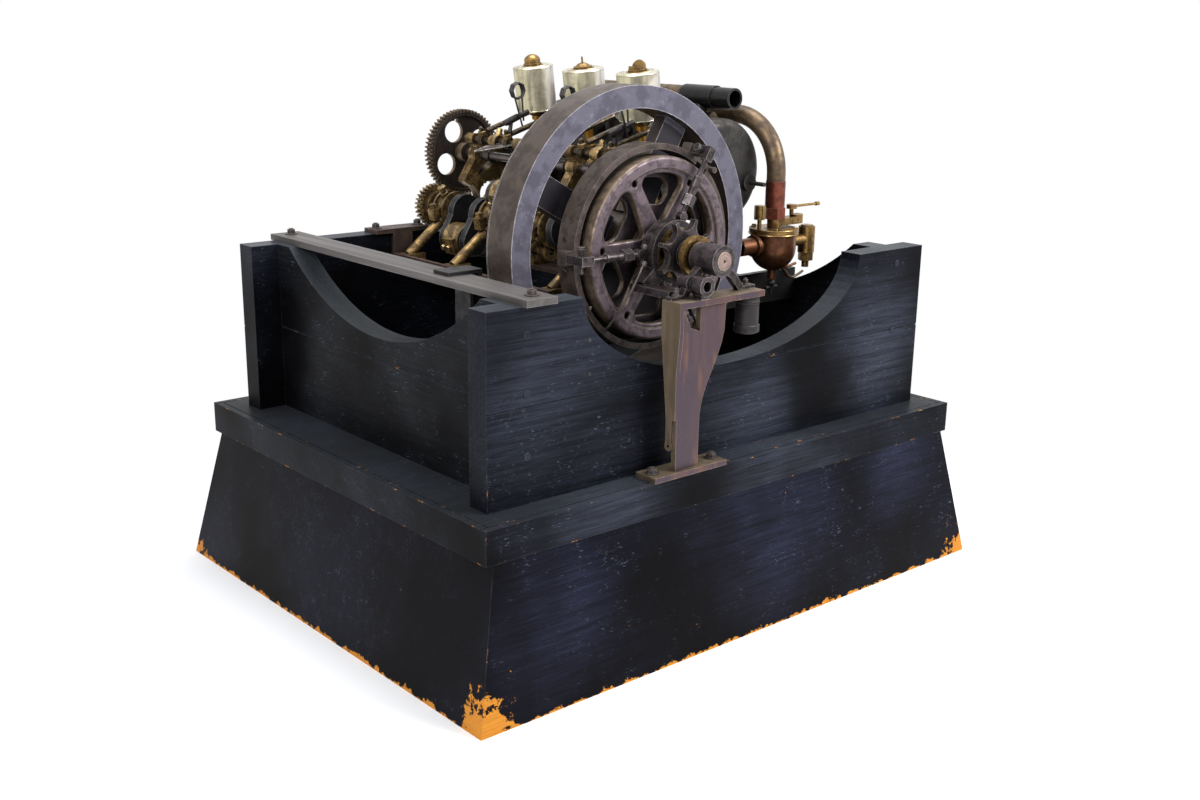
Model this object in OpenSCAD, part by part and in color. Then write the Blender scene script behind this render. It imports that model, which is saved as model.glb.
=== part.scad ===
// Three-cylinder inclined automobile engine on a wooden stand.
// Millimetres. X runs along the clutch side, Y from the clutch side to the gear side, Z up.
// The origin is the middle of the stand's footprint, on the floor.

/* [Stand] */
// Length of the plinth at the floor
plinth_l = 1178; // [1150:1:1230]
// Width of the plinth at the floor
plinth_w = 938; // [900:1:960]
// Length of the plinth under the slab
plinth_top_l = 1073; // [1050:1:1090]
// Width of the plinth under the slab
plinth_top_w = 860; // [840:1:861]
// Height of the plinth
plinth_h = 246; // [200:1:300]
// Thickness of the plinth boards
board_t = 28; // [20:1:40]
// Length of the slab
slab_l = 1100; // [1095:1:1140]
// Width of the slab
slab_w = 862; // [862:1:900]
// Thickness of the slab
slab_t = 55; // [40:1:70]

/* [Walls] */
// Thickness of the wall boards
wall_t = 44; // [36:1:50]
// Height of the walls above the slab
wall_h = 303; // [295:1:310]
// Length of the front and back walls
end_wall_l = 1013; // [1000:1:1040]
// Distance between the outer faces of the front and back walls
box_w = 751; // [745:1:760]
// Distance between the outer faces of the side walls
box_l = 908; // [900:1:930]
// Width of the scoop in the front wall
front_scoop_w = 650; // [600:1:660]
// Depth of the scoop in the front wall
front_scoop_d = 149; // [120:1:160]
// Width of the scoops in the side walls
side_scoop_w = 580; // [540:1:600]
// Depth of the scoops in the side walls
side_scoop_d = 113; // [90:1:125]
// Width of the seam between two boards of a wall
seam_w = 2; // [1:0.5:3]
// Depth of the seams and of the slab's grooves
seam_d = 2; // [1:0.5:3]

/* [Hangers] */
// Width of the hanger straps
strap_w = 43; // [36:1:50]
// Thickness of the hanger straps
strap_t = 8; // [6:0.5:8.5]
// Length of a strap's plate on the wall top
strap_plate_l = 118; // [110:1:122]
// Height of a rail's upright leg
rail_h = 25; // [20:1:30]
// Width of a rail's flat leg
rail_w = 48; // [40:1:52]
// Length of the rails from the back wall
rail_l = 483; // [480:1:486]
// Width of the side bar
bar_w = 57; // [50:1:62]
// Thickness of the side bar
bar_t = 11; // [9:1:14]
// Length of the side bar
bar_l = 770; // [760:1:790]
// Width of the clamp on the side bar
clamp_w = 41; // [34:1:48]
// Thickness of the clamp's strap
clamp_t = 6; // [5:0.5:8]
// Length of the clamp's hanging leg
clamp_leg = 92; // [80:1:100]
// Height of the cross bar under the rails
cross_h = 60; // [50:1:70]
// Thickness of the cross bar
cross_t = 12; // [8:1:14]

/* [Crank] */
// Place of the shaft axis along X
crank_x = -91.7; // [-95:0.1:-88]
// Height of the shaft axis
crank_z = 643.5; // [642:0.1:646]
// Radius of the crank throw
throw = 56; // [50:1:56]
// Radius of the main journals
shaft_r = 20; // [18:0.5:21]
// Radius of the shaft's nose
nose_r = 15; // [13:0.5:15.5]
// Radius of the crank pins
pin_r = 17; // [15:0.5:18]
// Length of the crank pins
pin_l = 50; // [46:1:52]
// Thickness of the crank webs
web_t = 16; // [13:1:17]
// Radius of a web round the shaft
web_r = 33; // [30:1:35]
// Distance between the cylinders
pitch = 150; // [148:1:151]
// Place of the middle cylinder along Y
mid_y = 76; // [74.5:0.5:76.5]
// Outer radius of a rod's big end
big_end_r = 31; // [28:1:32]
// Reach of the opened rods from the crank pin
rod_reach = 74; // [66:1:75]
// Thickness of the rod shanks
rod_t = 16; // [12:1:18]
// Radial running clearance of every shaft
fit = 0.06; // [0.02:0.01:0.09]

/* [Flywheel] */
// Outer radius of the flywheel
fly_r = 260; // [250:1:266]
// Inner radius of the flywheel's rim
fly_in_r = 223; // [215:1:228]
// Width of the flywheel's rim
fly_w = 71; // [66:1:71]
// Step at the far edge of the rim
fly_step = 4; // [2:0.5:6]
// Width of the flywheel's spokes
fly_spoke_w = 52; // [44:1:60]
// Thickness of the flywheel's spokes
fly_spoke_t = 26; // [20:1:32]
// Radius of the flywheel's hub
fly_hub_r = 48; // [42:1:54]
// Gap between the flywheel and the bed
fly_gap = 6; // [5:0.5:6.5]

/* [Bearings] */
// Outer radius of the main bearings
bearing_r = 30; // [28:1:32]
// Radius of the bearings' flanges
flange_r = 35; // [33:1:37]
// Length of the main bearings
bearing_l = 34; // [28:1:36]
// Thickness of the bearing flanges
flange_t = 5; // [3:0.5:6]
// Thickness of the frame castings
frame_t = 22; // [18:1:24]
// Width of a frame's bars
frame_bar_w = 22; // [18:1:26]
// Radius of the struts
strut_r = 9.5; // [8:0.5:11]
// Thickness of the bed plate
bed_t = 12; // [9:1:13]
// Half height of the bed plate
bed_half = 82; // [78:1:86]
// Distance from the shaft to the bed plate
bed_s = 145; // [143:1:150]

/* [Cylinders] */
// Tilt of the cylinders from the level
tilt = 17; // [15:0.5:18]
// Bore radius of the cylinders
bore_r = 50; // [46:1:51]
// Outer radius of the barrels
barrel_r = 64; // [60:1:65]
// Radius of the round heads
head_r = 97; // [90:1:98]
// Half width of the round heads
head_half = 66; // [60:1:67]
// Rounding of the heads' edges
head_round = 16; // [10:1:20]
// Distance from the shaft to the heads' axis
head_s = 316; // [306:1:318]
// Distance from the shaft to the end of the bore
bore_end_s = 345; // [342:1:352]
// Thickness of the mounting flanges
cyl_flange_t = 10; // [8:1:14]
// Mean distance from the shaft to the wrist pins
wrist_s = 228; // [226:1:230]
// Height of a piston above its pin
piston_crown = 38; // [34:1:42]
// Length of a piston's skirt below its pin
piston_skirt = 32; // [28:1:32]
// Wall thickness of the pistons
piston_wall = 8; // [6:0.5:10]
// Radius of the wrist pins
wrist_r = 10; // [8:0.5:12]
// Radius of the igniter bosses
igniter_r = 16; // [12:1:18]
// Length of the front igniter's rod
igniter_rod_l = 36; // [20:1:38]
// Length of the igniter rods between the heads
igniter_stub_l = 8; // [4:1:8]

/* [Camshaft] */
// Module of the timing gears
gear_module = 2.7; // [2.6:0.05:2.7]
// Teeth of the crank pinion
pinion_teeth = 30; // [30]
// Teeth of the cam gear
gear_teeth = 60; // [60]
// Direction from the shaft to the camshaft
cam_angle = 57; // [56:0.5:58]
// Width of the timing gears
gear_w = 18; // [14:1:20]
// Place of the gears' near faces along Y
gear_y = 350; // [346:1:351]
// Radius of the holes in the cam gear
gear_hole_r = 21; // [17:1:22]
// Radius of the camshaft
cam_shaft_r = 8; // [7:0.5:8]
// Radius of the cams' base
cam_base_r = 11; // [10:0.5:12]
// Radius of the cams' lobe tips
cam_lobe_r = 15; // [14:0.5:15.5]
// Width of the cams
cam_w = 14; // [10:1:16]
// Distance of each cam from its cylinder's middle
cam_off = 40; // [36:1:42]

/* [Valve gear] */
// Radius of the rocker shaft
rocker_shaft_r = 6; // [5:0.5:7]
// Radius of the rockers' bosses
rocker_boss_r = 11; // [9:0.5:12]
// Radius of the push rods
push_r = 5; // [4:0.5:6]
// Radius of the valve cages
cage_r = 20; // [16:1:22]
// Wire radius of the hairpin springs
wire_r = 1.9; // [1.5:0.1:2.2]
// Coil radius of the hairpin springs
coil_r = 15; // [13:1:16]

/* [Oilers] */
// Radius of the oil cans
can_r = 38.5; // [34:0.5:40]
// Height of the oil cans
can_h = 86; // [80:1:92]
// Length of the stems below the cans
stem_l = 67; // [60:1:72]
// Radius of the stems
stem_r = 8.5; // [7:0.5:9]
// Radius of the caps
cap_r = 17.5; // [15:0.5:19]
// Height of the caps
cap_h = 21; // [17:1:24]
// Lean of the oilers
oiler_lean = 7.8; // [6:0.1:9]

/* [Exhaust] */
// Radius of the manifold pipe
exhaust_r = 19; // [17:0.5:20]
// Radius of the outlet's large sleeve
sleeve_r = 22; // [21:0.5:23]
// Radius of the outlet's small sleeve
outlet_r = 19.5; // [18:0.5:20.5]
// Bore radius of the open end
outlet_bore_r = 15.5; // [14:0.5:16]
// Length of the small sleeve
outlet_l = 48; // [40:1:56]
// Length of the large sleeve
sleeve_l = 80; // [74:1:90]

/* [Intake] */
// Radius of the intake pipe
intake_r = 17.5; // [16:0.5:18]
// Radius of the intake pipe's bend
bend_r = 104; // [98:1:106]
// Place of the carburettor along X
carb_x = 300; // [296:1:304]
// Place of the carburettor along Y
carb_y = -187; // [-190:1:-184]
// Height of the intake pipe above the floor
intake_z = 835; // [830:1:840]
// Radius of the copper sleeve
copper_r = 18.5; // [18:0.5:19]
// Radius of the hexagon union's corners
union_r = 20.5; // [20:0.5:22]

/* [Carburettor] */
// Radius of the float bowl
bowl_r = 43; // [40:1:45]
// Radius of the bowl's lid
lid_r = 46; // [45:1:48]
// Thickness of the lid
lid_t = 10; // [7:1:12]
// Height of the lid's underside above the floor
lid_z = 622; // [618:1:625]
// Height of the bowl's straight wall
bowl_h = 28; // [24:1:32]
// Radius of the fuel elbow
elbow_r = 16; // [13:0.5:17]
// Distance from the bowl's axis to the fuel elbow
elbow_reach = 95; // [88:1:98]
// Length of the throttle lever's rod
lever_l = 73; // [60:1:80]
// Radius of the needle knob
knob_r = 10.5; // [9:0.5:12]

/* [Clutch] */
// Outer radius of the clutch drum
drum_r = 151; // [148:1:152]
// Width of the drum's rim
drum_w = 59; // [54:1:59.5]
// Thickness of the drum's rim
drum_rim_t = 22; // [18:1:26]
// Inner radius of the band
band_in_r = 160; // [159:0.5:161]
// Thickness of the band
band_t = 10; // [8:1:12]
// Width of the band
band_w = 41; // [36:1:43]
// Outer radius of the control ring
ring_r = 52; // [49:1:54]
// Bore radius of the control ring
ring_bore_r = 41; // [40.8:0.1:42]
// Width of the control ring
ring_w = 27; // [22:1:28]
// Radius of the star's tips
star_r = 57; // [54:1:59]
// Thickness of the star
star_t = 12; // [8:1:14]
// Travel of the star towards the ring
star_in = 8; // [4:1:9]
// Travel of the star towards the collar
star_out = 5; // [2:1:6]

/* [Outboard bearing] */
// Outer radius of the outboard bearing
out_r = 25; // [23:1:26]
// Length of the outboard bearing
out_l = 53; // [48:1:54]
// Radius of the control tube
tube_r = 16; // [14:0.5:16.5]
// Bore radius of the control tube
tube_bore_r = 8.5; // [7:0.5:9]
// Length of the control tube
tube_l = 24; // [20:1:25]

/* [Bracket] */
// Length of the bracket's top plate
plate_l = 190; // [180:1:194]
// Depth of the bracket's top plate
plate_w = 42; // [40:1:44]
// Thickness of the bracket's plate and leg
plate_t = 10; // [8:0.5:11]
// Height of the plate's upper face above the floor
plate_z = 585; // [583:0.5:586]
// Width of the bracket's leg at the plate
leg_top_w = 57; // [50:1:62]
// Width of the bracket's leg at the foot
leg_foot_w = 49; // [44:1:54]
// Sideways sweep of the leg
leg_sweep = 49; // [40:1:54]
// Length of the bracket's foot
foot_l = 159; // [150:1:170]
// Depth of the bracket's foot
foot_w = 46; // [40:1:50]
// Thickness of the bracket's foot
foot_t = 9; // [7:0.5:11]

/* [Hidden] */
$fn = 64;

// Overrun of every cut
cut = 1;
// Gap between pieces of different bodies that seat on each other
seat = 0.3;

// Stand
slab_z = plinth_h + slab_t;
wall_top = slab_z + wall_h;
plank_z = slab_z + wall_h / 2;
wall_y = box_w / 2;
wall_x = box_l / 2;
scoop_steps = 36;
groove_in = 12;
relief_gap = 6;

// Hangers
rail_top = 565;
rail_x = 213;
strap_bolt_in = 24;
bar_in = 43;
bar_mid_x = -wall_x + bar_in;
clamp_y = -144;
clamp_hole_r = 3;
clamp_head = 12;
bar_bolt_in = 26;

// Bolts
bolt_r = 8;
bolt_head_h = 7;
bolt_point = 2;
washer_t = 2;
washer_grow = 3;

// Crank: places of the cylinders and the crank pins, counted from the gear side
cyl_y = [for (k = [1, 0, -1]) mid_y + k * pitch];
pin_angle = [240, 120, 0];
frame_y = [for (k = [1.5, 0.5, -0.5]) mid_y + k * pitch];
front_frame_gap = 62;
front_frame_y = cyl_y[2] - front_frame_gap;
all_frame_y = concat(frame_y, [front_frame_y]);
web_pin_r = 27;
web_end = pin_l / 2 + web_t;
shaft_end_y = 372;
shaft_front_y = -436;
nose_y = -302;
big_end_l = pin_l - 2;
rod_root_half = 12;
rod_end_half = 8;
rod_nut_r = 5.5;
rod_nut_h = 9;
rod_cap_t = 9;

// Frame castings
cam_ring_r = 19;
split_angle = 100;
ear_reach = 50;
ear_t = 11;
ear_half = frame_t / 2 - 2;
ear_stud_r = 4.5;
ear_nut_h = 9;
lug_drop = 43;
lug_r = 17;
lug_hole_r = 7;
strut_angle = 218;
strut_collar_r = 13;
strut_collar_h = 14;
pad_t = 18;
pad_half = 14;
window_r = 24;
arm_inset = 3;
rocker_s = 88;
rocker_t = 112;

// Bed and cylinders
bed_front_y = -155;
bed_back_y = 316;
spigot_r = 56;
spigot_l = 10;
cyl_flange_half_t = 72;
cyl_flange_half_y = 70;
stud_in = 12;
oil_foot_s = 190;
oil_boss_r = 12;
oil_boss_t = barrel_r + 5;
port_off = 38;
port_neck_r = 14;
igniter_off = 66;
igniter_turn = -37;
igniter_boss_t = 8;
igniter_rod_r = 4;
ring_groove_w = 3;
ring_groove_d = 2;
piston_clear = 0.08;
small_end_r = 17;
small_end_half = 12;

// Camshaft
pinion_pitch_r = gear_module * pinion_teeth / 2;
gear_pitch_r = gear_module * gear_teeth / 2;
cam_gap = pinion_pitch_r + gear_pitch_r;
cam_x = crank_x + cam_gap * cos(cam_angle);
cam_z = crank_z + cam_gap * sin(cam_angle);
addendum_share = 0.95;
dedendum_share = 1.2;
// Half widths of a tooth at its root, pitch circle and tip, as shares of the pitch angle
tooth_shares = [0.34, 0.235, 0.12];
pinion_hub_r = 30;
pinion_hub_l = 10;
gear_hub_r = 19;
gear_hub_l = 14;
gear_web_in = 5;
gear_hole_ring = 46;
gear_rim_r = gear_pitch_r - 9;
gear_key_hole_r = 4;
gear_key_hole_ring = 64;
cam_shaft_front = -152;
cam_shaft_back = 371;
cam_turns = [30, 150, 270];
cam_spread = 60;

// Valve gear
push_t = 126;
push_from_s = 101;
cage_s = 230;
cage_l = 62;
cage_t = 104;
rocker_w = 12;
rocker_arm_w = 9;

// Hairpin springs
spring_turns = 2;
spring_rings = 8;
spring_sides = 6;
spring_pitch = 5.2;
spring_foot = [-7, 806.8];
spring_top = [-14, 872];
spring_end = [6, 815];
spring_off = 40;

// Oilers
can_rise = can_h + stem_l;
neck_r = 12;
neck_l = 16;
can_round = 3;
cap_rim_h = 4;
cap_step = 2;
cap_dome_r = 18;
cap_pin_r = 1.8;
cap_flap_turn = 25;

// Exhaust and intake
exhaust_x = 252;
exhaust_z = 866;
manifold_back = 276;
outlet_back_y = 8;
outlet_bore_l = 70;
end_cap_t = 5;
stub_flange_r = 19;
stub_flange_t = 6;

// Carburettor
riser_z = 719;
copper_l = 49;
union_l = 21;
throat_r = 13;
lid_screw_y = 32;
arm_z = 636;
arm_h = 17;
arm_reach = 62;
arm_half = 13;
spindle_x = 48;
spindle_r = 4;
clamp_ball_r = 10;
clamp_h = 8;
lever_r = 2.5;
lever_tip_r = 4;
lever_z = 668;
knob_x = -40;
knob_stem_l = 18;
knob_h = 26;
knob_flutes = 6;
knob_flute_r = 3.5;
plug_r = 8.5;
plug_l = 16;
cock_ball_r = 8;
cock_bar_r = 3;
cock_bar_l = 30;
cock_tip_l = 12;
elbow_h = 50;
elbow_z = 577;
elbow_cap_h = 2.5;
elbow_nut_h = 16;
elbow_nut_r = 14.5;
elbow_stub_h = 13;
elbow_stub_r = 7;
elbow_arm_r = 11;
elbow_arm_z = 602;
horn_r = 16;
horn_end = -92;
horn_bore_r = 12.5;
horn_bore_l = 40;
horn_flange_r = 20;
horn_flange_t = 8;
horn_neck_l = 14;
drip_r = 2.6;
drip_l = 30;
drip_turn = 120;
drip_bend = 40;

// Clutch
drum_back_y = -236;
drum_front_y = drum_back_y - drum_w;
drum_hub_r = 36;
drum_round = 6;
drum_plate_in = 5;
pear_near = 52;
pear_near_r = 8;
pear_far = 94;
pear_far_r = 32;
drum_spoke_t = 14;
drum_web_t = 10;
drum_web_y = -262;
drum_hole_r = 17;
drum_hole_ring = 96;
drum_hole_stretch = 20;
drum_eye_r = 6;
drum_eye_ring = 122;
drum_turn = -3;
band_back_y = -234.4;
band_split = 50;
band_gap_angle = 5;
arm_l = 38;
arm_out = 6;
arm_pin_r = 5;
arm_pin_out = 8;
lug_w = 22;
lug_h = 16;
rod_plane_y = -309;
rod_angles = [180, 60, -60];
adj_rod_r = 4.5;
adj_sleeve_r = 11;
adj_sleeve_l = 18;
adj_sleeve_at = 20;
adj_tube_r = 7;
adj_tube_l = 34;
adj_eye_r = 8;
adj_eye_half = 6;
adj_block_half = 7;
ring_front_y = -330;
ring_foot_half = 14;
ring_foot_t = 12;
ring_foot_x = -154;
sleeve_in_r = 36;
sleeve_clear = 0.5;
sleeve_web_t = 5;
hub_r = 24;
star_points = 8;
star_turn = 25;
star_bite_r = 19;
star_rest = 6;
hub_rest = 2;
star_y = ring_front_y - star_in - star_rest;
collar_r = 33;
collar_y = -380;
collar_t = 10;
star_hub_front = collar_y + collar_t + star_out + hub_rest;

// Outboard bearing
out_front_y = -438;
oil_hole_r = 3;
end_step_r = 17;
end_step_d = 2;
aleg_w = 12;
aleg_t = 12;
aleg_y = -408;
foot_pad_h = 6;
left_foot_x = -159;
right_foot_x = -2;
foot_pad_half = 16;
left_knee = [-41, -35];
right_knee = [52, -31];
leg_boss_r = 12;
leg_boss_out = 8;
tube_x = -122;
tube_lift = 4.5;
tube_front_y = -434;
saddle_half = 8;

// Bracket
plate_left_x = -175;
plate_front_y = -430;
leg_y = -424;
leg_top_x = -97;
leg_bend_top = 540;
leg_bend_low = 395;
leg_steps = 12;
skin_top_w = 12;
skin_mid_w = 29;
skin_mid_z = 542;
skin_low_z = 524;
rib_low_z = 350;
rib_t = 8;
rib_low_w = 13;
rib_y = -410;
eye_r = 8;
eye_hole_r = 3;
foot_mid_x = -140;
foot_front_y = -431;
cup_r = 19;
cup_top_r = 15;
cup_l = 62;
cup_step = 16;
cup_x = -3;
cup_y = -409;

// Colours
black_wood = "#1d1f2b";
dark_iron = "#4a4648";
bronze = "#a8874a";
brass = "#b58c3c";
steel = "#8d8aa5";
grey_iron = "#5d5a5c";
rust = "#7a5a4a";
tin = "#c9cac2";
copper = "#8a4a3a";

// A cylinder along +Y between two places on Y
module ycyl(r, y0, y1) {
    translate([0, y0, 0]) rotate([-90, 0, 0]) cylinder(r = r, h = y1 - y0);
}

// A profile drawn in X and Z, made solid between two places on Y
module slab_xz(y0, y1) {
    translate([0, y1, 0]) rotate([90, 0, 0]) linear_extrude(y1 - y0) children();
}

// A profile drawn in Y and Z, made solid between two places on X
module slab_yz(x0, x1) {
    translate([x0, 0, 0]) rotate([90, 0, 90]) linear_extrude(x1 - x0) children();
}

// A flat bar between two points of a profile
module bar2d(p, q, w) {
    d = q - p;
    translate(p) rotate(atan2(d[1], d[0])) translate([0, -w / 2]) square([norm(d), w]);
}

// A box between two opposite corners
module block(a, b) {
    translate(a) cube(b - a);
}

module at_crank() {
    translate([crank_x, 0, crank_z]) children();
}

// X along the cylinders, away from the shaft
module in_bank() {
    at_crank() rotate([0, -tilt, 0]) children();
}

module at_cam() {
    translate([cam_x, 0, cam_z]) children();
}

// A point given along and across the cylinders, in the profile plane of at_crank()
function bank(s, t) = [s * cos(tilt) - t * sin(tilt), s * sin(tilt) + t * cos(tilt)];

cam_local = [cam_gap * cos(cam_angle), cam_gap * sin(cam_angle)];

// A hexagon head on a washer, standing on z = 0
module hex_bolt(r = bolt_r, h = bolt_head_h) {
    cylinder(r = r + washer_grow, h = washer_t);
    translate([0, 0, washer_t]) cylinder(r = r, h = h, $fn = 6);
    translate([0, 0, washer_t + h]) cylinder(r = r / 2, h = bolt_point);
}

// Half of a scoop's arc as an ellipse, from one rim to the other
function ellipse_scoop(w, d, top) =
    [for (i = [0 : scoop_steps]) [-w / 2 * cos(180 * i / scoop_steps),
                                  top - d * sin(180 * i / scoop_steps)]];

// Radius of the circle whose arc makes a side scoop
side_scoop_r = (side_scoop_w * side_scoop_w / 4 + side_scoop_d * side_scoop_d) / (2 * side_scoop_d);

// Stand

// Side profile of the plinth, narrowed by the board thickness where asked
module plinth_profile(low, high, inset) {
    polygon([[-low / 2 + inset, 0], [low / 2 - inset, 0],
             [high / 2 - inset, plinth_h], [-high / 2 + inset, plinth_h]]);
}

module plinth_boards() {
    color(black_wood) {
        for (m = [0, 1]) mirror([0, m, 0]) difference() {
            intersection() {
                slab_yz(-plinth_l / 2, plinth_l / 2) plinth_profile(plinth_w, plinth_top_w, 0);
                slab_xz(-plinth_w / 2, 0) plinth_profile(plinth_l, plinth_top_l, 0);
            }
            slab_yz(-plinth_l, plinth_l) core_profile(plinth_w, plinth_top_w);
        }
        for (m = [0, 1]) mirror([m, 0, 0]) difference() {
            intersection() {
                slab_xz(-plinth_w / 2, plinth_w / 2) plinth_profile(plinth_l, plinth_top_l, 0);
                slab_yz(-plinth_l / 2, 0) plinth_profile(plinth_w, plinth_top_w, board_t);
            }
            slab_xz(-plinth_w, plinth_w) core_profile(plinth_l, plinth_top_l);
        }
    }
}

// The space inside the boards, with its sloping sides carried past both ends
module core_profile(low, high) {
    slope = (low - high) / 2 / plinth_h;
    polygon([[-low / 2 + board_t - slope * cut, -cut], [low / 2 - board_t + slope * cut, -cut],
             [high / 2 - board_t - slope * cut, plinth_h + cut],
             [-high / 2 + board_t + slope * cut, plinth_h + cut]]);
}

module stand_slab() {
    color(black_wood) difference() {
        block([-slab_l / 2, -slab_w / 2, plinth_h], [slab_l / 2, slab_w / 2, slab_z]);
        for (m = [0, 1]) {
            mirror([0, m, 0]) block([-slab_l, -slab_w / 2 + groove_in, slab_z - seam_d],
                                    [slab_l, -slab_w / 2 + groove_in + seam_w, slab_z + cut]);
            mirror([m, 0, 0]) block([-slab_l / 2 + groove_in, -slab_w / 2 + groove_in, slab_z - seam_d],
                                    [-slab_l / 2 + groove_in + seam_w, slab_w / 2 - groove_in,
                                     slab_z + cut]);
        }
    }
}

// The scoop's points, closed well above the wall's top edge
function open_above(pts, top) = concat(pts, [[pts[scoop_steps][0], top + cut], [pts[0][0], top + cut]]);

// A front or back wall of two boards, with its outer face towards -Y
module end_wall() {
    difference() {
        block([-end_wall_l / 2, -wall_y, slab_z], [end_wall_l / 2, -wall_y + wall_t, wall_top]);
        block([-end_wall_l, -wall_y - cut, plank_z - seam_w / 2],
              [end_wall_l, -wall_y + seam_d, plank_z + seam_w / 2]);
        children();
    }
}

module wall_front() {
    color(black_wood) end_wall()
        slab_xz(-wall_y - cut, -wall_y + wall_t + cut)
            polygon(open_above(ellipse_scoop(front_scoop_w, front_scoop_d, wall_top), wall_top));
}

// The back wall has a shallow relief under the crank pinion
module wall_back() {
    color(black_wood) mirror([0, 1, 0]) end_wall()
        translate([crank_x, 0, crank_z])
            ycyl(pinion_pitch_r + gear_module + relief_gap, -wall_y - cut, -wall_y + wall_t + cut);
}

// A side wall of two boards between the end walls, with its outer face towards -X
module side_wall() {
    difference() {
        block([-wall_x, -wall_y + wall_t, slab_z], [-wall_x + wall_t, wall_y - wall_t, wall_top]);
        block([-wall_x - cut, -wall_y, plank_z - seam_w / 2],
              [-wall_x + seam_d, wall_y, plank_z + seam_w / 2]);
        translate([-wall_x - cut, 0, wall_top - side_scoop_d + side_scoop_r]) rotate([0, 90, 0])
            cylinder(r = side_scoop_r, h = wall_t + 2 * cut);
    }
}

module wall_left() {
    color(black_wood) side_wall();
}

module wall_right() {
    color(black_wood) mirror([1, 0, 0]) side_wall();
}

// Hangers

module side_bar() {
    color(dark_iron) block([bar_mid_x - bar_w / 2, -bar_l / 2, wall_top],
                           [bar_mid_x + bar_w / 2, bar_l / 2, wall_top + bar_t]);
}

// A strap bent over the bar, with a leg that hangs on the bar's inner side
module bar_clamp() {
    in_x = bar_mid_x + bar_w / 2;
    top = wall_top + bar_t;
    color(dark_iron) difference() {
        union() {
            block([in_x - clamp_w, clamp_y - clamp_w / 2, top],
                  [in_x + clamp_t + clamp_head, clamp_y + clamp_w / 2, top + clamp_t]);
            block([in_x, clamp_y - clamp_w / 2, wall_top - clamp_leg + clamp_w / 2],
                  [in_x + clamp_t, clamp_y + clamp_w / 2, top + clamp_t]);
            translate([in_x, clamp_y, wall_top - clamp_leg + clamp_w / 2])
                rotate([0, 90, 0]) cylinder(r = clamp_w / 2, h = clamp_t);
            block([in_x + clamp_t + clamp_head, clamp_y - clamp_w / 2, top - bar_t / 2],
                  [in_x + 2 * clamp_t + clamp_head, clamp_y + clamp_w / 2, top + clamp_t]);
        }
        translate([in_x - cut, clamp_y, wall_top - clamp_leg + clamp_w / 2])
            rotate([0, 90, 0]) cylinder(r = clamp_hole_r, h = clamp_t + 2 * cut);
    }
}

// One rail hung from the back wall: plate on the top, drop down the inner face, angle rail
module hanger_rail() {
    inner = wall_y - wall_t;
    x0 = -rail_x;
    x_mid = x0 + strap_w / 2;
    block([x_mid - strap_plate_l / 2, inner - strap_t, wall_top],
          [x_mid + strap_plate_l / 2, wall_y - strap_t, wall_top + strap_t]);
    block([x0, inner - strap_t, rail_top - rail_h], [x0 + strap_w, inner, wall_top + strap_t]);
    block([x0, inner - rail_l, rail_top - rail_h], [x0 + strap_t, inner, rail_top]);
    block([x0, inner - rail_l, rail_top - rail_h],
          [x0 + rail_w, inner, rail_top - rail_h + strap_t]);
}

// The same rail on the other side of the shaft
module mirror_at_crank() {
    translate([crank_x, 0, 0]) mirror([1, 0, 0]) translate([-crank_x, 0, 0]) children();
}

module hanger_rails() {
    color(rust) {
        hanger_rail();
        mirror_at_crank() hanger_rail();
    }
}

// Carries the rails' front ends, from the clamp's leg to the right wall
module cross_bar() {
    top = rail_top - rail_h;
    color(dark_iron) block([bar_mid_x + bar_w / 2 + clamp_t, clamp_y - cross_t / 2, top - cross_h],
                           [wall_x - wall_t, clamp_y + cross_t / 2, top]);
}

module frame_bolts() {
    inner = wall_y - wall_t;
    strap_mid = -rail_x + strap_w / 2;
    strap_y = wall_y - strap_t - wall_t / 2;
    color(dark_iron) {
        for (k = [-1, 1]) {
            translate([strap_mid + k * (strap_plate_l / 2 - strap_bolt_in / 2), strap_y,
                       wall_top + strap_t]) hex_bolt();
            translate([2 * crank_x - strap_mid + k * (strap_plate_l / 2 - strap_bolt_in / 2), strap_y,
                       wall_top + strap_t]) hex_bolt();
            translate([bar_mid_x, k * (bar_l / 2 - bar_bolt_in), wall_top + bar_t]) hex_bolt();
            translate([foot_mid_x + k * (foot_l / 2 - bolt_r - washer_grow - washer_t),
                       foot_front_y + foot_w / 2, slab_z + foot_t]) hex_bolt();
        }
        for (x = [left_foot_x, right_foot_x])
            translate([x, aleg_y + aleg_t / 2, plate_z + foot_pad_h]) hex_bolt(bolt_r / 2, bolt_head_h);
        for (y = cyl_y) for (k = [-1, 1]) for (m = [-1, 1]) in_bank()
            translate([bed_s + bed_t + cyl_flange_t, y + m * (cyl_flange_half_y - stud_in),
                       k * (cyl_flange_half_t - stud_in)])
                rotate([0, 90, 0]) hex_bolt(bolt_r, bolt_head_h);
    }
}

// Bearings and frame

// The solid of a main bearing, before its bore
module bearing_body(y) {
    ycyl(bearing_r, y - bearing_l / 2, y + bearing_l / 2);
    for (k = [-1, 1])
        ycyl(flange_r, y + k * (bearing_l - flange_t) / 2 - flange_t / 2,
             y + k * (bearing_l - flange_t) / 2 + flange_t / 2);
}

// The half of space on the cap's side of the split
module cap_side() {
    rotate([0, -split_angle, 0]) block([0, -plinth_w, -plinth_w], [plinth_w, plinth_w, plinth_w]);
}

module strut(y) {
    rotate([0, -strut_angle, 0]) {
        a = bearing_r - flange_t;
        b = (crank_z - rail_top + rail_h - strap_t - pad_t) / -sin(strut_angle);
        rotate([0, 90, 0]) translate([0, y, a]) cylinder(r = strut_r, h = b - a + strut_r / 2);
        rotate([0, 90, 0]) translate([0, y, a]) cylinder(r = strut_collar_r, h = strut_collar_h);
    }
}

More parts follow.
